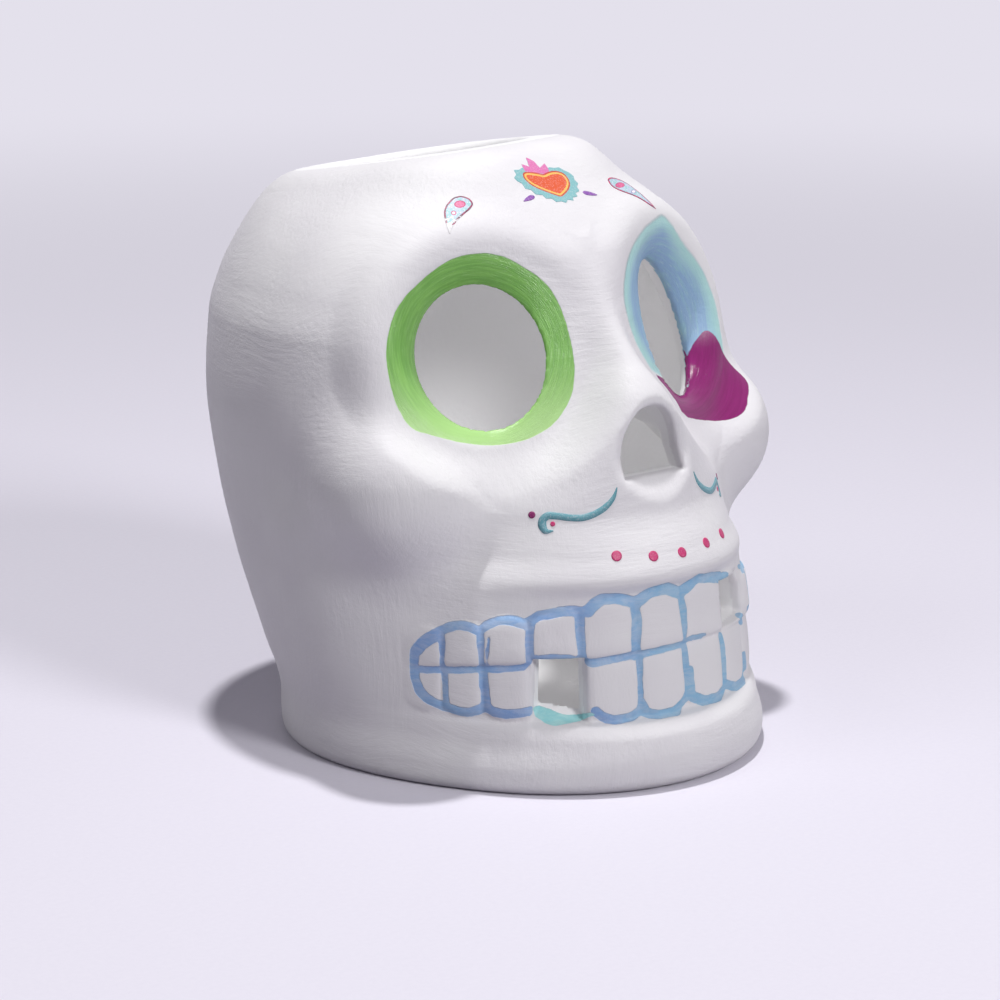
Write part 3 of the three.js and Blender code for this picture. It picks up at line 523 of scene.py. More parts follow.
Z1 = crop(380, 560, 7.127)
Z2 = crop(560, 540, 6.03)
TOOTH_LINES = [
    # (pixels, half width in mm)
    (Z1([(240, 745), (245, 650), (310, 575), (390, 525), (440, 500), (500, 475), (570, 462), (640, 475),
        (700, 505), (760, 465), (830, 435), (890, 425), (960, 433), (1030, 458)]), 1.25),
    (Z1([(270, 640), (300, 600), (370, 560), (430, 520)]), 1.3),
    (Z1([(1030, 458), (1080, 430), (1130, 398), (1220, 382), (1310, 365), (1390, 362),
        (1450, 370)]) + Z2([(120, 435), (170, 428), (200, 400)]), 1.2),
    (Z2([(170, 428), (200, 395), (250, 355), (330, 352), (430, 370), (460, 378), (540, 315), (640, 290),
        (720, 318), (760, 290), (820, 228), (900, 222), (960, 225)]), 1.45),
    (Z2([(960, 225), (1010, 208)]), 0.9),
    (Z1([(240, 745), (250, 850), (280, 930), (330, 985), (400, 1020), (450, 1040), (500, 1060), (570, 1085),
        (640, 1092), (700, 1070), (760, 1050), (810, 1085), (900, 1100), (990, 1092), (1085, 1080)]), 1.25),
    (Z1([(250, 770), (330, 783), (400, 782), (470, 782), (600, 783), (740, 778), (830, 776), (920, 775),
        (1020, 762), (1065, 735), (1110, 705), (1250, 695), (1350, 700), (1440, 712)]), 0.85),
    (Z2([(140, 725), (200, 740), (300, 718), (430, 690), (480, 682), (600, 655), (720, 625)]), 1.15),
    (Z2([(720, 625), (790, 595), (865, 580)]), 0.95),
    (Z1([(435, 500), (445, 600), (455, 770), (465, 900), (475, 1050)]), 0.95),
    (Z1([(715, 510), (718, 600), (738, 770), (745, 900), (760, 1050)]), 1.15),
    (Z1([(775, 560), (765, 640), (770, 780)]), 0.5),
    (Z1([(1075, 445), (1065, 560), (1072, 720)]), 1.1),
    (Z1([(1420, 380), (1425, 500), (1445, 700)]), 1.2),
    (Z2([(445, 385), (460, 480), (455, 600), (450, 690)]), 1.35),
    (Z2([(720, 320), (735, 420), (742, 520), (738, 625)]), 1.1),
    (Z2([(475, 700), (478, 820), (482, 960), (478, 1020)]), 0.85),
    (Z2([(745, 640), (755, 760), (775, 850), (770, 920)]), 1.0),
    (Z2([(785, 780), (790, 830), (795, 900)]), 0.9),
    (Z2([(960, 580), (978, 660), (985, 780), (985, 880)]), 1.0),
    (Z2([(215, 1035), (255, 1068), (330, 1085), (420, 1068), (480, 1025), (540, 1045), (600, 1055), (690, 1035),
        (750, 965), (770, 925), (800, 945), (860, 968), (940, 950), (978, 895), (1005, 870), (1050, 885),
        (1090, 850), (1112, 780), (1108, 700)]), 1.25),
    (Z2([(500, 985), (520, 1030), (560, 1045)]), 1.0),
    (Z2([(1085, 430), (1090, 480)]), 1.3),
]
LEDGE = Z1([(1090, 1055), (1105, 1110), (1180, 1165), (1250, 1185), (1420, 1150), (1540, 1105), (1500, 1085),
            (1400, 1105), (1300, 1100), (1190, 1060), (1130, 1040)])

GREEN = [(476, 253), (490, 253.5), (511, 259), (543, 279), (558, 300), (568, 328), (575, 362), (574, 385),
         (571, 399), (560, 418), (546, 431), (517, 444), (484, 446), (455, 442), (432, 435), (414, 431),
         (402, 418), (392, 394), (385, 355), (388, 335), (393.5, 314), (404, 298), (414, 287), (440, 265),
         (458, 256)]
Z3 = crop(590, 180, 6.03)
BLUE_NEAR = Z3([(450, 208), (400, 225), (330, 290), (260, 390), (220, 500), (203, 640), (210, 760), (245, 900),
                (290, 1010), (350, 1110), (385, 1165)])
MAGENTA = Z3([(690, 903), (725, 915), (765, 955), (800, 1040), (840, 1100), (900, 1160), (945, 1205),
              (960, 1260), (950, 1300), (945, 1370), (905, 1420), (840, 1448), (760, 1455), (660, 1445),
              (570, 1428), (500, 1300), (385, 1165), (430, 1190), (530, 1255), (600, 1262), (610, 1190),
              (590, 1040), (610, 1010), (640, 965)])


def polyline_distance(points, line):
    """Distance of points to a line of points."""
    best = np.full(len(points), 1e9)
    for a, b in zip(line[:-1], line[1:]):
        ab = b - a
        t = np.clip(((points - a) @ ab) / max(ab @ ab, 1e-12), 0, 1)
        q = points - a - t[:, None] * ab
        best = np.minimum(best, np.sqrt((q * q).sum(1)))
    return best


def loop_distance(uv, loop):
    """Signed distance to a closed outline in a plane: negative inside."""
    loop = np.asarray(loop)
    closed = np.vstack([loop, loop[:1]])
    best = polyline_distance(uv, closed)
    inside = np.zeros(len(uv), bool)
    for (x0, y0), (x1, y1) in zip(closed[:-1], closed[1:]):
        cross = (y0 > uv[:, 1]) != (y1 > uv[:, 1])
        with np.errstate(divide="ignore", invalid="ignore"):
            at = x0 + (uv[:, 1] - y0) * (x1 - x0) / (y1 - y0)
        inside ^= cross & (uv[:, 0] < at)
    return np.where(inside, -best, best)


def rounded(loop, passes=2):
    """Corner-cut copy of a closed outline."""
    loop = np.asarray(loop, float)
    for _ in range(passes):
        after = np.roll(loop, -1, axis=0)
        loop = np.stack([0.75 * loop + 0.25 * after, 0.25 * loop + 0.75 * after], 1).reshape(-1, 2)
    return loop


def eye_uv(points, side):
    u, v = eye_plane(side * points[:, 0], points[:, 1], points[:, 2])
    return np.stack([u, v], 1)


PAINT_REACH = 2.6  # how far under the outside the masks go on


def paint_masks(points):
    far = np.full(len(points), 9.0)
    x, y, z = points.T
    out_side = painted(x, y, z) > -PAINT_REACH
    masks = {"inside": np.where(out_side, 0.0, 1.0)}
    u, v = eye_plane(np.abs(x), y, z)
    reach = np.maximum(np.hypot(u, v), 1e-3)
    masks["brush_u"], masks["brush_v"], masks["brush_w"] = u / reach, v / reach, reach
    # teeth
    zone = np.flatnonzero((z > 9) & (z < 55) & (y < 0) & out_side)
    p = points[zone]
    d = np.full(len(zone), 9.0)
    turn = np.degrees(np.arctan2(p[:, 0], AXIS - p[:, 1]))
    hidden = turn > np.where(p[:, 2] > 33, 27, 33)
    for i, (pixels, half) in enumerate(TOOTH_LINES):
        line = on_face(pixels)
        d = np.minimum(d, polyline_distance(p, line) - half)
        # the part of the left half that the photograph hides has the right half's outlines, mirrored
        line = line[line[:, 0] < -22]
        if i < 17 and len(line) > 1:
            d = np.minimum(d, np.where(hidden, polyline_distance(p * [-1, 1, 1], line) - half, 9.0))
    masks["paint_teeth"] = far.copy()
    masks["paint_teeth"][zone] = d
    # ledge below the missing lower tooth
    zone = np.flatnonzero((z > 13) & (z < 24) & (y < -20) & (x < -15) & (x > -50))
    p = points[zone]
    rel = p - EYE
    depth = -(rel @ BACK)
    px = np.stack([500 + FOCAL * (rel @ RIGHT) / depth, 500 - FOCAL * (rel @ UP) / depth], 1)
    masks["paint_ledge"] = far.copy()
    reach = np.hypot(x, AXIS - y)[zone]
    masks["paint_ledge"][zone] = np.where(reach > 58, loop_distance(px, LEDGE) / 4, 9.0)
    # rings round the eyes
    for name, side, loop in (("paint_green", -1, GREEN), ("paint_blue", 1, BLUE_NEAR)):
        uv = eye_uv(on_face(loop), side)
        if side == 1:
            # the side that the photograph doesn't show follows the ring of the other eye
            other = eye_uv(on_face(GREEN), -1)
            angle = np.degrees(np.arctan2(other[:, 1], other[:, 0]))
            other = other[(angle > -80) & (angle < 65)]
            other = other[np.argsort(np.arctan2(other[:, 1], other[:, 0]))]
            seen = uv[np.argsort(np.unwrap(np.arctan2(uv[:, 1], uv[:, 0]) % (2 * np.pi)))]
            uv = np.vstack([other * 0.985, seen])
        zone = np.flatnonzero((side * x > 3) & (y < 12) & (z > 70) & (z < 135) & out_side)
        masks[name] = far.copy()
        masks[name][zone] = loop_distance(eye_uv(points[zone], side), rounded(uv))
        if side == 1:
            patch = rounded(eye_uv(on_face(MAGENTA), side), 1)
            masks["paint_magenta"] = far.copy()
            masks["paint_magenta"][zone] = loop_distance(eye_uv(points[zone], side), patch)
    return masks


# Materials
def new_material(name):
    m = bpy.data.materials.new(name)
    m.use_nodes = True
    nt = m.node_tree
    nt.nodes.clear()
    out = nt.nodes.new("ShaderNodeOutputMaterial")
    bsdf = nt.nodes.new("ShaderNodeBsdfPrincipled")
    nt.links.new(bsdf.outputs["BSDF"], out.inputs["Surface"])
    return m, nt, bsdf


def node(nt, kind, inputs=None, **props):
    n = nt.nodes.new(kind)
    for k, v in props.items():
        setattr(n, k, v)
    for k, v in (inputs or {}).items():
        if isinstance(v, bpy.types.NodeSocket):
            nt.links.new(v, n.inputs[k])
        else:
            n.inputs[k].default_value = v
    return n


def srgb(r, g, b):
    def lin(c):
        c /= 255
        return c / 12.92 if c <= 0.04045 else ((c + 0.055) / 1.055) ** 2.4
    return (lin(r), lin(g), lin(b), 1.0)


def mix(nt, fac, a, b, blend="MIX"):
    n = node(nt, "ShaderNodeMix", data_type="RGBA", blend_type=blend)
    for i, v in ((0, fac), (6, a), (7, b)):
        if isinstance(v, bpy.types.NodeSocket):
            nt.links.new(v, n.inputs[i])
        else:
            n.inputs[i].default_value = v
    return n.outputs[2]


def mathn(nt, op, a, b=0.0, c=None, clamp=False):
    n = nt.nodes.new("ShaderNodeMath")
    n.operation = op
    n.use_clamp = clamp
    for i, v in enumerate((a, b) if c is None else (a, b, c)):
        if isinstance(v, bpy.types.NodeSocket):
            nt.links.new(v, n.inputs[i])
        else:
            n.inputs[i].default_value = v
    return n.outputs[0]


def noise(nt, coords, scale, stretch=(1, 1, 1), detail=3.0, rough=0.55, distort=0.0, w=0.0):
    m = node(nt, "ShaderNodeMapping", {"Vector": coords, "Scale": stretch, "Location": (w, w * 1.7, w * 0.6)})
    return node(nt, "ShaderNodeTexNoise", {"Vector": m.outputs[0], "Scale": scale, "Detail": detail,
                                           "Roughness": rough, "Distortion": distort}).outputs["Fac"]


def ramp(nt, value, low, high, to_low=0.0, to_high=1.0):
    n = node(nt, "ShaderNodeMapRange", {"Value": value, "From Min": low, "From Max": high, "To Min": to_low,
                                        "To Max": to_high}, interpolation_type="SMOOTHSTEP")
    return n.outputs["Result"]


def below(nt, value, low, high):
    """One below the low value, nothing above the high one."""
    return mathn(nt, "SUBTRACT", 1.0, ramp(nt, value, low, high), clamp=True)


def attr(nt, name):
    return node(nt, "ShaderNodeAttribute", attribute_name=name, attribute_type="GEOMETRY").outputs["Fac"]


def seen_directly(nt):
    """One for what the camera sees, also in a gloss or through glass."""
    ray = node(nt, "ShaderNodeLightPath").outputs
    either = mathn(nt, "MAXIMUM", ray["Is Camera Ray"], ray["Is Glossy Ray"])
    return mathn(nt, "MAXIMUM", either, ray["Is Transmission Ray"])


def area(nt, grain, key, wobble):
    """One inside a mask, with an edge that the print's grain roughens."""
    d = mathn(nt, "MULTIPLY_ADD", grain, wobble, mathn(nt, "SUBTRACT", attr(nt, key), wobble / 2))
    return below(nt, d, -0.05, 0.05)


def finish_print(nt, bsdf, colour, grain):
    nt.links.new(colour, bsdf.inputs["Base Color"])
    bsdf.inputs["Roughness"].default_value = 0.45
    bump = node(nt, "ShaderNodeBump", {"Height": grain, "Strength": 0.3, "Distance": 0.0001})
    nt.links.new(bump.outputs[0], bsdf.inputs["Normal"])


def glaze_material():
    m, nt, bsdf = new_material("painted_glaze")
    coords = node(nt, "ShaderNodeTexCoord").outputs["Object"]
    wobble = mathn(nt, "MULTIPLY_ADD", noise(nt, coords, 420, detail=2.0), 0.5, -0.25)
    wobble2 = mathn(nt, "MULTIPLY_ADD", noise(nt, coords, 130, detail=1.0, w=3.0), 0.6, -0.3)
    edge = mathn(nt, "ADD", wobble, wobble2)

    def cover(name, soft=0.12, extra=1.0):
        d = mathn(nt, "MULTIPLY_ADD", edge, extra, attr(nt, name))
        return below(nt, d, -soft, soft)

    # brush strokes wander over the glaze in patches
    bend = node(nt, "ShaderNodeTexNoise", {"Vector": coords, "Scale": 16.0, "Detail": 1.0}).outputs["Color"]
    bent = node(nt, "ShaderNodeVectorMath", {0: bend, 1: (0.02, 0.02, 0.03), 2: coords}, operation="MULTIPLY_ADD")
    streak_h = noise(nt, bent.outputs[0], 90, (1, 1, 7), detail=5.0, rough=0.68)
    streak_v = noise(nt, bent.outputs[0], 85, (7, 7, 1), detail=5.0, rough=0.68, w=5.0)
    patch = ramp(nt, noise(nt, coords, 24, detail=1.0, w=9.0), 0.4, 0.6)
    streak = node(nt, "ShaderNodeMix", {0: patch, 2: streak_h, 3: streak_v}, data_type="FLOAT").outputs[0]
    grain = noise(nt, coords, 620, detail=4.0, rough=0.65, w=2.0)
    rough_patch = ramp(nt, noise(nt, coords, 30, detail=2.0, w=12.0), 0.42, 0.66, 0.25, 1.0)
    cloud = noise(nt, coords, 20, detail=3.0, w=1.0)

    white = mix(nt, ramp(nt, cloud, 0.35, 0.7), srgb(236, 234, 236), srgb(229, 226, 230))
    # the inside is painted lighter than the outside glaze: painted light, standing in for the light that bounces
    # round inside the hollow
    white = mix(nt, attr(nt, "inside"), white, srgb(249, 248, 249))
    # a few dark specks in the glaze
    speck = node(nt, "ShaderNodeTexVoronoi", {"Vector": coords, "Scale": 95.0, "Randomness": 1.0})
    dot = below(nt, speck.outputs["Distance"], 0.02, 0.04)
    pick = node(nt, "ShaderNodeSeparateColor", {"Color": speck.outputs["Color"]}).outputs[0]
    rare = mathn(nt, "GREATER_THAN", pick, 0.86)
    white = mix(nt, mathn(nt, "MULTIPLY", mathn(nt, "MULTIPLY", dot, rare), 0.4), white, srgb(120, 112, 112))

    # strokes that follow the rings round the eyes
    ring = node(nt, "ShaderNodeCombineXYZ", {i: attr(nt, "brush_" + c) for i, c in enumerate("uvw")})
    stroke = noise(nt, ring.outputs[0], 1.0, (2.2, 2.2, 1.6), detail=4.0, rough=0.6, distort=0.3)
    fine_stroke = noise(nt, ring.outputs[0], 1.0, (5, 5, 4.5), detail=3.0, rough=0.6, w=3.0)
    brush = noise(nt, coords, 150, (1, 1, 3), detail=4.0, rough=0.65, distort=1.2, w=7.0)
    height = node(nt, "ShaderNodeSeparateXYZ", {0: coords}).outputs[2]
    # the lower part of the green ring is painted paler: painted light and sheen where the lamp from above falls on
    # its upturned slope
    low = below(nt, height, 0.082, 0.104)
    green = mix(nt, ramp(nt, stroke, 0.35, 0.68), srgb(118, 178, 82), srgb(138, 198, 96))
    green = mix(nt, mathn(nt, "MULTIPLY", low, 0.8), green, srgb(188, 230, 150))
    green = mix(nt, ramp(nt, fine_stroke, 0.5, 0.85, 0.0, 0.35), green, srgb(190, 230, 160))
    depth = ramp(nt, mathn(nt, "MULTIPLY_ADD", stroke, 3.0, attr(nt, "paint_blue")), -3.6, 0.6)
    blue = mix(nt, depth, srgb(148, 182, 216), srgb(182, 224, 222))
    blue = mix(nt, ramp(nt, stroke, 0.45, 0.7, 0.0, 0.6), blue, srgb(160, 206, 214))
    blue = mix(nt, ramp(nt, fine_stroke, 0.55, 0.85, 0.0, 0.6), blue, srgb(206, 234, 232))
    magenta = mix(nt, ramp(nt, stroke, 0.3, 0.75), srgb(130, 14, 98), srgb(142, 24, 110))
    # the tooth lines turn half way to teal from x = -30 mm to the middle and beyond; the plain blue on the -x side
    # is painted shade, the violet tint of the shade that falls on that side
    front = ramp(nt, node(nt, "ShaderNodeSeparateXYZ", {0: coords}).outputs[0], -0.03, 0.0)
    worn = ramp(nt, noise(nt, coords, 90, detail=2.0, w=6.0), 0.35, 0.65)
    tooth = mix(nt, worn, srgb(134, 168, 218), srgb(148, 184, 224))
    tooth = mix(nt, mathn(nt, "MULTIPLY", front, 0.5), tooth, srgb(142, 196, 216))
    ledge = mix(nt, ramp(nt, brush, 0.35, 0.7), srgb(160, 222, 226), srgb(186, 234, 234))

    c_teeth, c_ledge = cover("paint_teeth"), cover("paint_ledge")
    c_green, c_blue = cover("paint_green", 0.15, 0.6), cover("paint_blue", 0.55)
    c_mag = cover("paint_magenta", 0.12, 0.6)
    # the brushed lines let some of the white through
    thin = ramp(nt, brush, 0.3, 0.75, 1.0, 0.72)
    colour = mix(nt, mathn(nt, "MULTIPLY", c_teeth, thin), white, tooth)
    colour = mix(nt, c_ledge, colour, ledge)
    colour = mix(nt, c_green, colour, green)
    colour = mix(nt, c_blue, colour, blue)
    colour = mix(nt, c_mag, colour, magenta)
    nt.links.new(colour, bsdf.inputs["Base Color"])

    rough = mathn(nt, "MULTIPLY_ADD", streak, 0.1, 0.52)
    for c, value in ((c_teeth, 0.5), (c_green, 0.22), (c_blue, 0.42), (c_mag, 0.17)):
        rough = node(nt, "ShaderNodeMix", {0: c, 2: rough, 3: value}, data_type="FLOAT").outputs[0]
    nt.links.new(rough, bsdf.inputs["Roughness"])
    bsdf.inputs["Specular IOR Level"].default_value = 0.4

    film = c_teeth
    for c in (c_ledge, c_green, c_blue, c_mag):
        film = mathn(nt, "MAXIMUM", film, c)
    gloss = mathn(nt, "MAXIMUM", c_mag, mathn(nt, "MULTIPLY", c_green, 0.8))
    calm = mathn(nt, "SUBTRACT", 1.0, mathn(nt, "MULTIPLY", gloss, 0.85))
    peel = mathn(nt, "MULTIPLY", grain, mathn(nt, "MULTIPLY", rough_patch, 0.5))
    fine = mathn(nt, "MULTIPLY", mathn(nt, "ADD", mathn(nt, "MULTIPLY", streak, 0.55), peel), calm)
    ringed = mathn(nt, "MULTIPLY", fine_stroke, mathn(nt, "MAXIMUM", c_green, c_blue))
    fine = mathn(nt, "MULTIPLY_ADD", ringed, 0.35, fine)
    b1 = node(nt, "ShaderNodeBump", {"Height": fine, "Strength": 0.9, "Distance": 0.0004})
    b2 = node(nt, "ShaderNodeBump", {"Height": film, "Strength": 0.7, "Distance": 0.0002, "Normal": b1.outputs[0]})
    b3 = node(nt, "ShaderNodeBump", {"Height": cloud, "Strength": 0.5, "Distance": 0.0014, "Normal": b2.outputs[0]})
    nt.links.new(b3.outputs[0], bsdf.inputs["Normal"])
    return m


def print_material(name, base, parts=(), speckle=0.25):
    """Printed colour with areas from attributes: each part is (attribute, colour)."""
    m, nt, bsdf = new_material(name)
    coords = node(nt, "ShaderNodeTexCoord").outputs["Object"]
    grain = noise(nt, coords, 2600, detail=1.0)
    colour = base
    for key, value in parts:
        colour = mix(nt, area(nt, grain, key, 0.12), colour, value)
    light = ramp(nt, grain, 0.45, 0.75, 0.0, speckle)
    finish_print(nt, bsdf, mix(nt, light, colour, srgb(235, 225, 230)), grain)
    return m


# Transfers
FILM = 0.12


def local_frame(anchor):
    p, n = settle(anchor[None])
    n = n[0]
    across = np.array([-n[1], n[0], 0.0])
    across /= np.linalg.norm(across)
    return p[0], n, across, np.cross(n, across)


def film(name, outline_uv, at, material, features=(), spacing=0.4):
    """Thin printed patch inside an outline in the plane that touches the form."""
    anchor, n, across, up = at
    loop = np.asarray(outline_uv, float)
    centre = loop.mean(0)
    reach = np.linalg.norm(loop - centre, axis=1).max()
    rings = max(2, int(reach / spacing))
    shares = (np.arange(rings) + 1) / rings
    uv = np.vstack([[centre]] + [centre + s * (loop - centre) for s in shares])
    count = len(loop)
    flat = anchor + uv[:, :1] * across + uv[:, 1:] * up
    points, _ = settle(flat, FILM)
    turn = [(i, (i + 1) % count) for i in range(count)]
    tri = [(0, 1 + i, 1 + j) for i, j in turn]
    starts = [1 + r * count for r in range(rings)]
    quad = [(a + i, b + i, b + j, a + j) for a, b in zip(starts[:-1], starts[1:]) for i, j in turn]
    # the edge turns down into the glaze
    edge, _ = settle(flat[-count:], -0.15)
    base, first = starts[-1], len(points)
    skirt = [(base + i, first + i, first + j, base + j) for i, j in turn]
    points = np.vstack([points, edge])
    uv = np.vstack([uv, uv[-count:]])
    mesh = bpy.data.meshes.new(name)
    mesh.from_pydata(((points + [0, SHIFT, 0]) * MM).tolist(), [], tri + quad + skirt)
    mesh.validate()
    mesh.polygons.foreach_set("use_smooth", [True] * len(mesh.polygons))
    obj = new_object(name, mesh)
    for key, fn in features:
        attribute(obj, key, fn(uv))
    obj.data.materials.append(material)
    return obj


def uv_of(pixels, at):
    """Pixels as places in a transfer's own plane."""
    anchor, n, across, up = at
    p = on_face(pixels)
    return np.stack([(p - anchor) @ across, (p - anchor) @ up], 1)


def dense(loop, step):
    loop = np.asarray(loop, float)
    closed = np.vstack([loop, loop[:1]])
    out = []
    for a, b in zip(closed[:-1], closed[1:]):
        k = max(1, int(np.linalg.norm(b - a) / step))
        out.extend(a + (b - a) * i / k for i in range(k))
    return np.array(out)


def finish_piece(obj, slot, *nodes):
    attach(obj, "root")
    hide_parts(*nodes)


# Build the shell
points, quads = shell_mesh()
shell = make_object("skull_body", points, quads)
for key, values in paint_masks(points).items():
    attribute(shell, key, values)
shell.data.materials.append(glaze_material())
finish_piece(shell, "white_glaze", "skull_shell")

# Build the transfers
ORANGE, YELLOW, RED = srgb(226, 92, 48), srgb(252, 196, 96), srgb(204, 70, 42)
TEAL, FLAME, PURPLE = srgb(134, 190, 194), srgb(222, 118, 178), srgb(140, 84, 172)
SCROLL, ROSE, PLUM = srgb(98, 156, 168), srgb(198, 50, 112), srgb(128, 4, 92)

Z4 = crop(500, 140, 8.711)
at = local_frame(on_face([(549, 186)])[0])
heart = rounded(uv_of(Z4([(195, 295), (215, 280), (260, 280), (330, 290), (372, 302), (395, 290), (440, 272),
                          (500, 272), (550, 290), (590, 330), (610, 375), (605, 420), (580, 460), (535, 500),
                          (500, 490), (400, 455), (290, 410), (225, 360), (200, 325)]), at))
flame = uv_of(Z4([(215, 275), (185, 212), (235, 228), (255, 240), (222, 152), (290, 185), (345, 245), (385, 205),
                  (410, 240), (428, 272), (385, 300), (330, 290), (260, 282)]), at)
scallops = uv_of(Z4([(118, 262), (160, 262), (200, 240), (240, 250), (300, 290), (430, 240), (470, 245),
                     (510, 240), (560, 268), (600, 285), (640, 318), (645, 345), (680, 380), (668, 408),
                     (690, 445), (655, 465), (675, 492), (630, 500), (640, 528), (590, 520), (575, 548),
                     (535, 535), (490, 540), (450, 510), (400, 510), (370, 480), (310, 475), (270, 435),
                     (220, 425), (190, 378), (150, 360), (122, 330), (140, 300)]), at)
angle = np.linspace(-np.pi, np.pi, 240, endpoint=False)
middle = heart.mean(0)


def reach_of(loop, angles, centre):
    """Furthest crossing of a closed outline along each direction from a centre."""
    closed = np.vstack([loop, loop[:1]]) - centre
    out = np.zeros(len(angles))
    for a, b in zip(closed[:-1], closed[1:]):
        d = b - a
        for i, w in enumerate(angles):
            r = np.array([math.cos(w), math.sin(w)])
            det = -r[0] * d[1] + r[1] * d[0]
            if abs(det) < 1e-12:
                continue
            t = (-a[0] * d[1] + a[1] * d[0]) / det
            s = (r[0] * a[1] - r[1] * a[0]) / det
            if t > 0 and 0 <= s <= 1:
                out[i] = max(out[i], t)
    return out


reach = np.maximum(reach_of(scallops, angle, middle), reach_of(flame, angle, middle))
outline = middle + reach[:, None] * np.stack([np.cos(angle), np.sin(angle)], 1)
heart_mat = print_material("heart_print", TEAL, [
    ("in_flame", FLAME), ("in_heart", RED), ("in_line", YELLOW), ("in_core", ORANGE)])
piece = film("heart_print", outline, at, heart_mat, [
    ("in_flame", lambda uv: loop_distance(uv, flame)),
    ("in_heart", lambda uv: loop_distance(uv, heart)),
    ("in_line", lambda uv: loop_distance(uv, heart) + 0.42),
    ("in_core", lambda uv: loop_distance(uv, heart) + 0.95),
], spacing=0.12)
finish_piece(piece, "heart_print", "heart_transfer")

purple_mat = print_material("purple_print", PURPLE)
DROPS = {
    "right": Z4([(197, 540), (225, 505), (255, 482), (285, 480), (305, 498), (290, 518), (250, 530)]),
    "left": Z4([(715, 455), (730, 443), (770, 450), (820, 466), (855, 483), (800, 485), (745, 478)]),
}
for side, px in DROPS.items():
    at = local_frame(on_face(px).mean(0))
    piece = film("drop_print_" + side, dense(rounded(uv_of(px, at), 1), 0.2), at, purple_mat)
    finish_piece(piece, "purple_print", "drop_transfer_" + side)


def paisley_material(name, line, line_dark, pip):
    """Fine outline, dotted pale inside and an eye, worn away towards the tip."""
    m, nt, bsdf = new_material(name)
    coords = node(nt, "ShaderNodeTexCoord").outputs["Object"]
    grain = noise(nt, coords, 2600, detail=1.0)
    patches = noise(nt, coords, 900, detail=2.0, w=2.0)
    cells = node(nt, "ShaderNodeTexVoronoi", {"Vector": coords, "Scale": 1700.0}).outputs["Distance"]

    def within(key):
        return area(nt, grain, key, 0.16)

    colour = mix(nt, ramp(nt, patches, 0.4, 0.62), line, line_dark)
    pale = mix(nt, ramp(nt, patches, 0.38, 0.6), srgb(150, 204, 206), srgb(196, 204, 226))
    pale = mix(nt, ramp(nt, cells, 0.2, 0.34, 0.75, 0.0), pale, srgb(242, 244, 246))
    iris = mix(nt, ramp(nt, grain, 0.4, 0.65), srgb(236, 112, 162), srgb(206, 92, 136))
    for key, value in (("in_line", pale), ("in_eye", srgb(190, 44, 104)), ("in_iris", iris), ("in_pip", pip),
                       ("in_spark", srgb(244, 238, 244))):
        colour = mix(nt, within(key), colour, value)
    wear = mathn(nt, "MULTIPLY_ADD", mathn(nt, "SUBTRACT", patches, 0.5), 1.6, attr(nt, "in_wear"))
    finish_print(nt, bsdf, mix(nt, ramp(nt, wear, 0.4, 0.62), colour, srgb(234, 232, 234)), grain)
    return m


Z6, Z7 = crop(430, 180, 22.4), crop(590, 130, 9.22)
PAISLEYS = (
    # side, crop, outline, tip, eye and its half sizes, pip and its half sizes, wear, colours
    ("right", Z6,
     [(480, 430), (560, 380), (680, 355), (790, 375), (900, 430), (970, 530), (950, 590), (860, 690),
      (770, 760), (690, 830), (620, 890), (560, 970), (480, 1080), (455, 1290), (400, 1110), (345, 940),
      (325, 850), (310, 740), (330, 640), (370, 560)],
     (455, 1290), (670, 550), (130, 80), (530, 745), (58, 50), 1.0,
     srgb(158, 44, 90), srgb(84, 40, 62), srgb(196, 70, 120)),
    ("left", Z7,
     [(160, 450), (180, 435), (240, 445), (340, 490), (430, 560), (520, 640), (600, 730), (625, 765),
      (540, 690), (470, 640), (400, 605), (300, 570), (230, 540), (190, 510), (165, 470)],
     (625, 765), (275, 510), (42, 25), (400, 570), (22, 16), 0.0,
     srgb(198, 58, 108), srgb(128, 70, 104), srgb(132, 92, 170)),
)
for side, zoom, pixels, tip, eye, eye_half, pip, pip_half, worn, *colours in PAISLEYS:
    px = zoom(pixels)
    at = local_frame(on_face(px).mean(0))
    loop = dense(rounded(uv_of(px, at), 2), 0.15)

    def oval_gap(middle_px, half, grow):
        """Gap to an oval drawn by pixels, in mm."""
        c, u, v = uv_of(zoom([middle_px, (middle_px[0] + half[0], middle_px[1]),
                                          (middle_px[0], middle_px[1] + half[1])]), at)
        turned = np.linalg.inv(np.stack([u - c, v - c], 1))
        size = (np.linalg.norm(u - c) + np.linalg.norm(v - c)) / 2
        return lambda uv: (np.linalg.norm((uv - c) @ turned.T, axis=1) - 1) * size - grow

    tip_uv = uv_of(zoom([tip]), at)[0]
    length = np.linalg.norm(uv_of(zoom([eye]), at)[0] - tip_uv)
    name = "paisley_print_" + side
    piece = film(name, loop, at, paisley_material(name, *colours), [
        ("in_line", lambda uv: loop_distance(uv, loop) + 0.42),
        ("in_eye", oval_gap(eye, eye_half, 0.0)),
        ("in_iris", oval_gap(eye, eye_half, -0.32)),
        ("in_pip", oval_gap(pip, pip_half, 0.0)),
        ("in_spark", oval_gap(pip, pip_half, -0.28)),
        ("in_wear", lambda uv: worn * (0.95 - np.linalg.norm(uv - tip_uv, axis=1) / length * 1.15)),
    ], spacing=0.12)
    finish_piece(piece, "pale_print", "paisley_transfer_" + side)

Z5 = crop(500, 460, 6.031)
scroll_mid = Z5([(706, 165), (685, 225), (640, 280), (570, 325), (500, 348), (420, 348), (340, 338), (285, 338),
                 (258, 362), (255, 395), (275, 428), (322, 428)])
scroll_half = [0.12, 0.5, 0.75, 0.8, 0.8, 0.8, 0.82, 0.9, 0.95, 1.0, 0.75, 0.12]


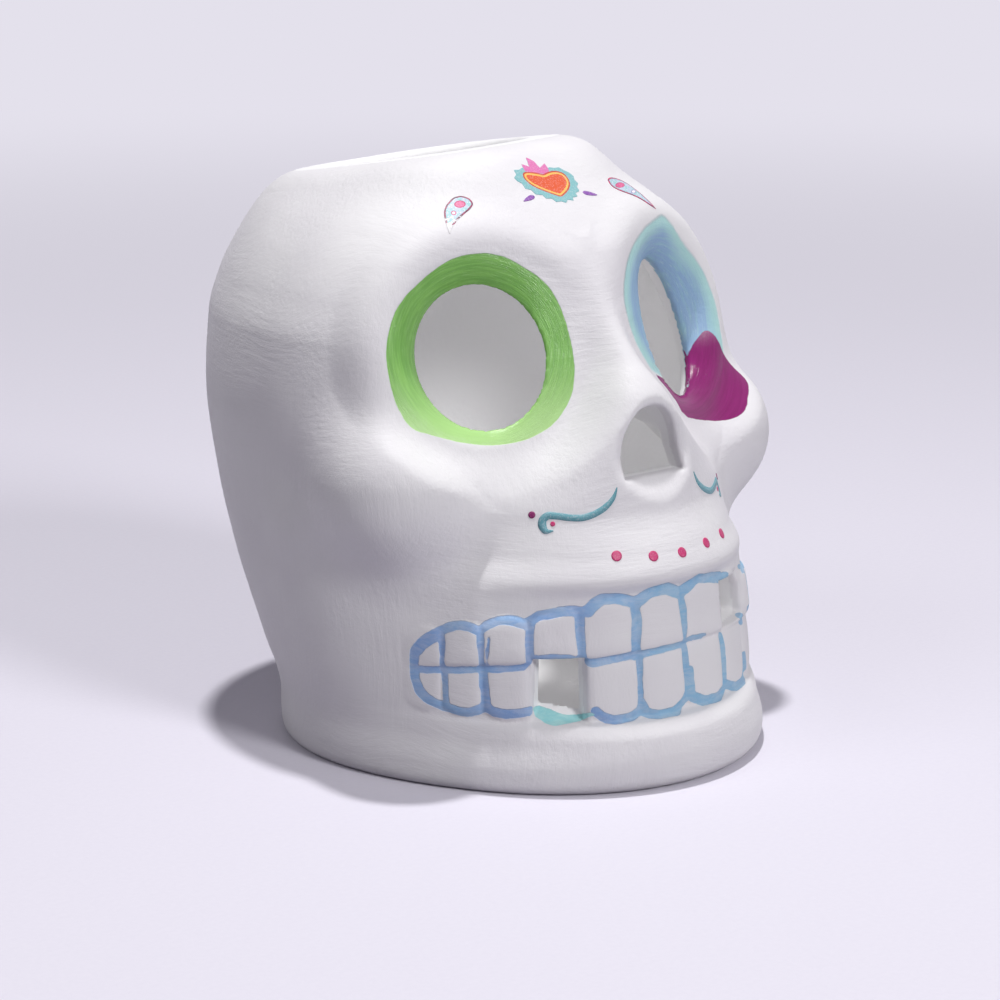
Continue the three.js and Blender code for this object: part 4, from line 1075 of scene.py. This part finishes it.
def ribbon(name, line, halves, material):
    """Printed ribbon of changing width along a line on the form."""
    line = np.asarray(line, float)
    at = np.concatenate([[0], np.cumsum(np.linalg.norm(np.diff(line, axis=0), axis=1))])
    s = np.linspace(0, at[-1], 90)
    mid = np.stack([hermite_open(at, line[:, i], s) for i in range(3)], 1)
    half = np.interp(s, at, halves)
    mid, n = settle(mid)
    tangent = np.gradient(mid, axis=0)
    tangent /= np.linalg.norm(tangent, axis=1)[:, None]
    aside = np.cross(tangent, n)
    aside /= np.linalg.norm(aside, axis=1)[:, None]
    rows = []
    for share, lift in ((-1, -0.15), (-1, FILM), (0, FILM), (1, FILM), (1, -0.15)):
        p, _ = settle(mid + aside * (share * half)[:, None], lift)
        rows.append(p)
    points = np.stack(rows, 1).reshape(-1, 3)
    w = len(rows)
    faces = [(i * w + j, i * w + j + 1, (i + 1) * w + j + 1, (i + 1) * w + j)
             for i in range(len(s) - 1) for j in range(w - 1)]
    obj = make_object(name, points, faces)
    obj.data.materials.append(material)
    return obj


def hermite_open(places, values, at):
    slopes = np.gradient(values, places)
    i = np.clip(np.searchsorted(places, at, side="right") - 1, 0, len(places) - 2)
    span = places[i + 1] - places[i]
    t = (at - places[i]) / span
    h00, h10 = 2 * t ** 3 - 3 * t ** 2 + 1, t ** 3 - 2 * t ** 2 + t
    h01, h11 = -2 * t ** 3 + 3 * t ** 2, t ** 3 - t ** 2
    return h00 * values[i] + h10 * span * slopes[i] + h01 * values[i + 1] + h11 * span * slopes[i + 1]


scroll_mat = print_material("scroll_print", SCROLL)
rose_mat = print_material("rose_print", ROSE, speckle=0.12)
plum_mat = print_material("plum_print", PLUM, speckle=0.1)
line = on_face(scroll_mid)


def dot(name, centre, radius, material):
    at = local_frame(centre)
    w = np.linspace(0, 2 * np.pi, 28, endpoint=False)
    return film(name, radius * np.stack([np.cos(w), np.sin(w)], 1), at, material)


curl = on_face(Z5([(318, 386)]))[0]
cheek = on_face(Z5([(192, 331)]))[0]
for side, sign in (("right", 1), ("left", -1)):
    flip = np.array([sign, 1, 1])
    piece = ribbon("scroll_print_" + side, line * flip, scroll_half, scroll_mat)
    finish_piece(piece, "teal_print", "scroll_transfer_" + side)
    piece = dot("curl_print_" + side, curl * flip, 0.6, rose_mat)
    finish_piece(piece, "pink_print", "curl_dot_" + side)
    piece = dot("cheek_print_" + side, cheek * flip, 0.85, plum_mat)
    finish_piece(piece, "pink_print", "cheek_dot_" + side)
for i, px in enumerate(Z5([(703, 579), (925, 580), (1098, 557), (1243, 499), (1335, 443)])):
    piece = dot("lip_print_%d" % (i + 1), on_face([px])[0], 1.3, rose_mat)
    finish_piece(piece, "pink_print", "lip_dot_%d" % (i + 1))

# Stage and light
mesh = bpy.data.meshes.new("floor")
FLOOR_HALF = 4.0
rows = [(-2.5, 0.0), (2.2, 0.0)]
for i in range(1, 13):
    a = i / 12 * math.pi / 2
    rows.append((2.2 + 0.8 * math.sin(a), 0.8 * (1 - math.cos(a))))
rows.append((3.0, 4.0))
turned = Matrix.Rotation(math.radians(-40), 3, "Z")
verts = []
for y_, z_ in rows:
    for x_ in (-FLOOR_HALF, FLOOR_HALF):
        verts.append(tuple(turned @ Vector((x_, y_, z_))))
mesh.from_pydata(verts, [], [(2 * i, 2 * i + 1, 2 * i + 3, 2 * i + 2) for i in range(len(rows) - 1)])
mesh.polygons.foreach_set("use_smooth", [True] * len(mesh.polygons))
floor = new_object("floor", mesh)
m, nt, bsdf = new_material("floor_paper")
coords = node(nt, "ShaderNodeTexCoord").outputs["Object"]
tone = mix(nt, noise(nt, coords, 700, detail=2.0), srgb(226, 222, 234), srgb(231, 227, 238))
# seen, the paper is pale and its far end evenly bright; it throws less light back than that
BACKDROP = srgb(228, 225, 236)
seen = seen_directly(nt)
nt.links.new(mix(nt, seen, srgb(158, 154, 166), tone), bsdf.inputs["Base Color"])
bsdf.inputs["Roughness"].default_value = 0.9
bsdf.inputs["Specular IOR Level"].default_value = 0.1
glow = node(nt, "ShaderNodeEmission", {"Color": BACKDROP, "Strength": 1.0})
away = node(nt, "ShaderNodeVectorMath", {0: coords}, operation="LENGTH").outputs["Value"]
part = mathn(nt, "MULTIPLY", seen, ramp(nt, away, 0.25, 1.3))
paper = node(nt, "ShaderNodeMixShader", {0: part, 1: bsdf.outputs["BSDF"], 2: glow.outputs[0]})
nt.links.new(paper.outputs[0], nt.nodes["Material Output"].inputs["Surface"])
mesh.materials.append(m)


def add_light(name, kind, power, where):
    data = bpy.data.lights.new(name, kind)
    data.energy = power
    obj = new_object(name, data)
    obj.location = where
    return obj


def lamp(name, azimuth, elevation, distance_m, size, power):
    """Round lamp turned to the middle of the skull."""
    target = Vector((0, 0, 0.07))
    where = target + Vector(aim(azimuth, elevation)) * distance_m
    obj = add_light(name, "AREA", power, where)
    obj.data.shape = "DISK"
    obj.data.size = size
    obj.rotation_euler = (where - target).to_track_quat("Z", "Y").to_euler()


lamp("key", 168, 86, 1.5, 0.1, 15)
lamp("front", 2, 30, 1.8, 0.5, 15)
lamp("side", -100, 45, 1.8, 0.8, 3)
# stands for the many small reflections between the pale walls inside
inner = add_light("inner", "POINT", 0.012, (0, 0.008, 0.085))
inner.data.shadow_soft_size = 0.02
inner.visible_camera = inner.visible_glossy = False

world = bpy.data.worlds.new("world")
bpy.context.scene.world = world
world.use_nodes = True
background = world.node_tree.nodes["Background"]
background.inputs["Color"].default_value = (0.80, 0.80, 0.86, 1)
background.inputs["Strength"].default_value = 0.18
nt = world.node_tree
pale = node(nt, "ShaderNodeBackground", {"Color": BACKDROP, "Strength": 1.0})
either = node(nt, "ShaderNodeMixShader", {0: seen_directly(nt), 1: background.outputs[0], 2: pale.outputs[0]})
nt.links.new(either.outputs[0], nt.nodes["World Output"].inputs["Surface"])
bpy.context.scene.view_settings.view_transform = "Standard"
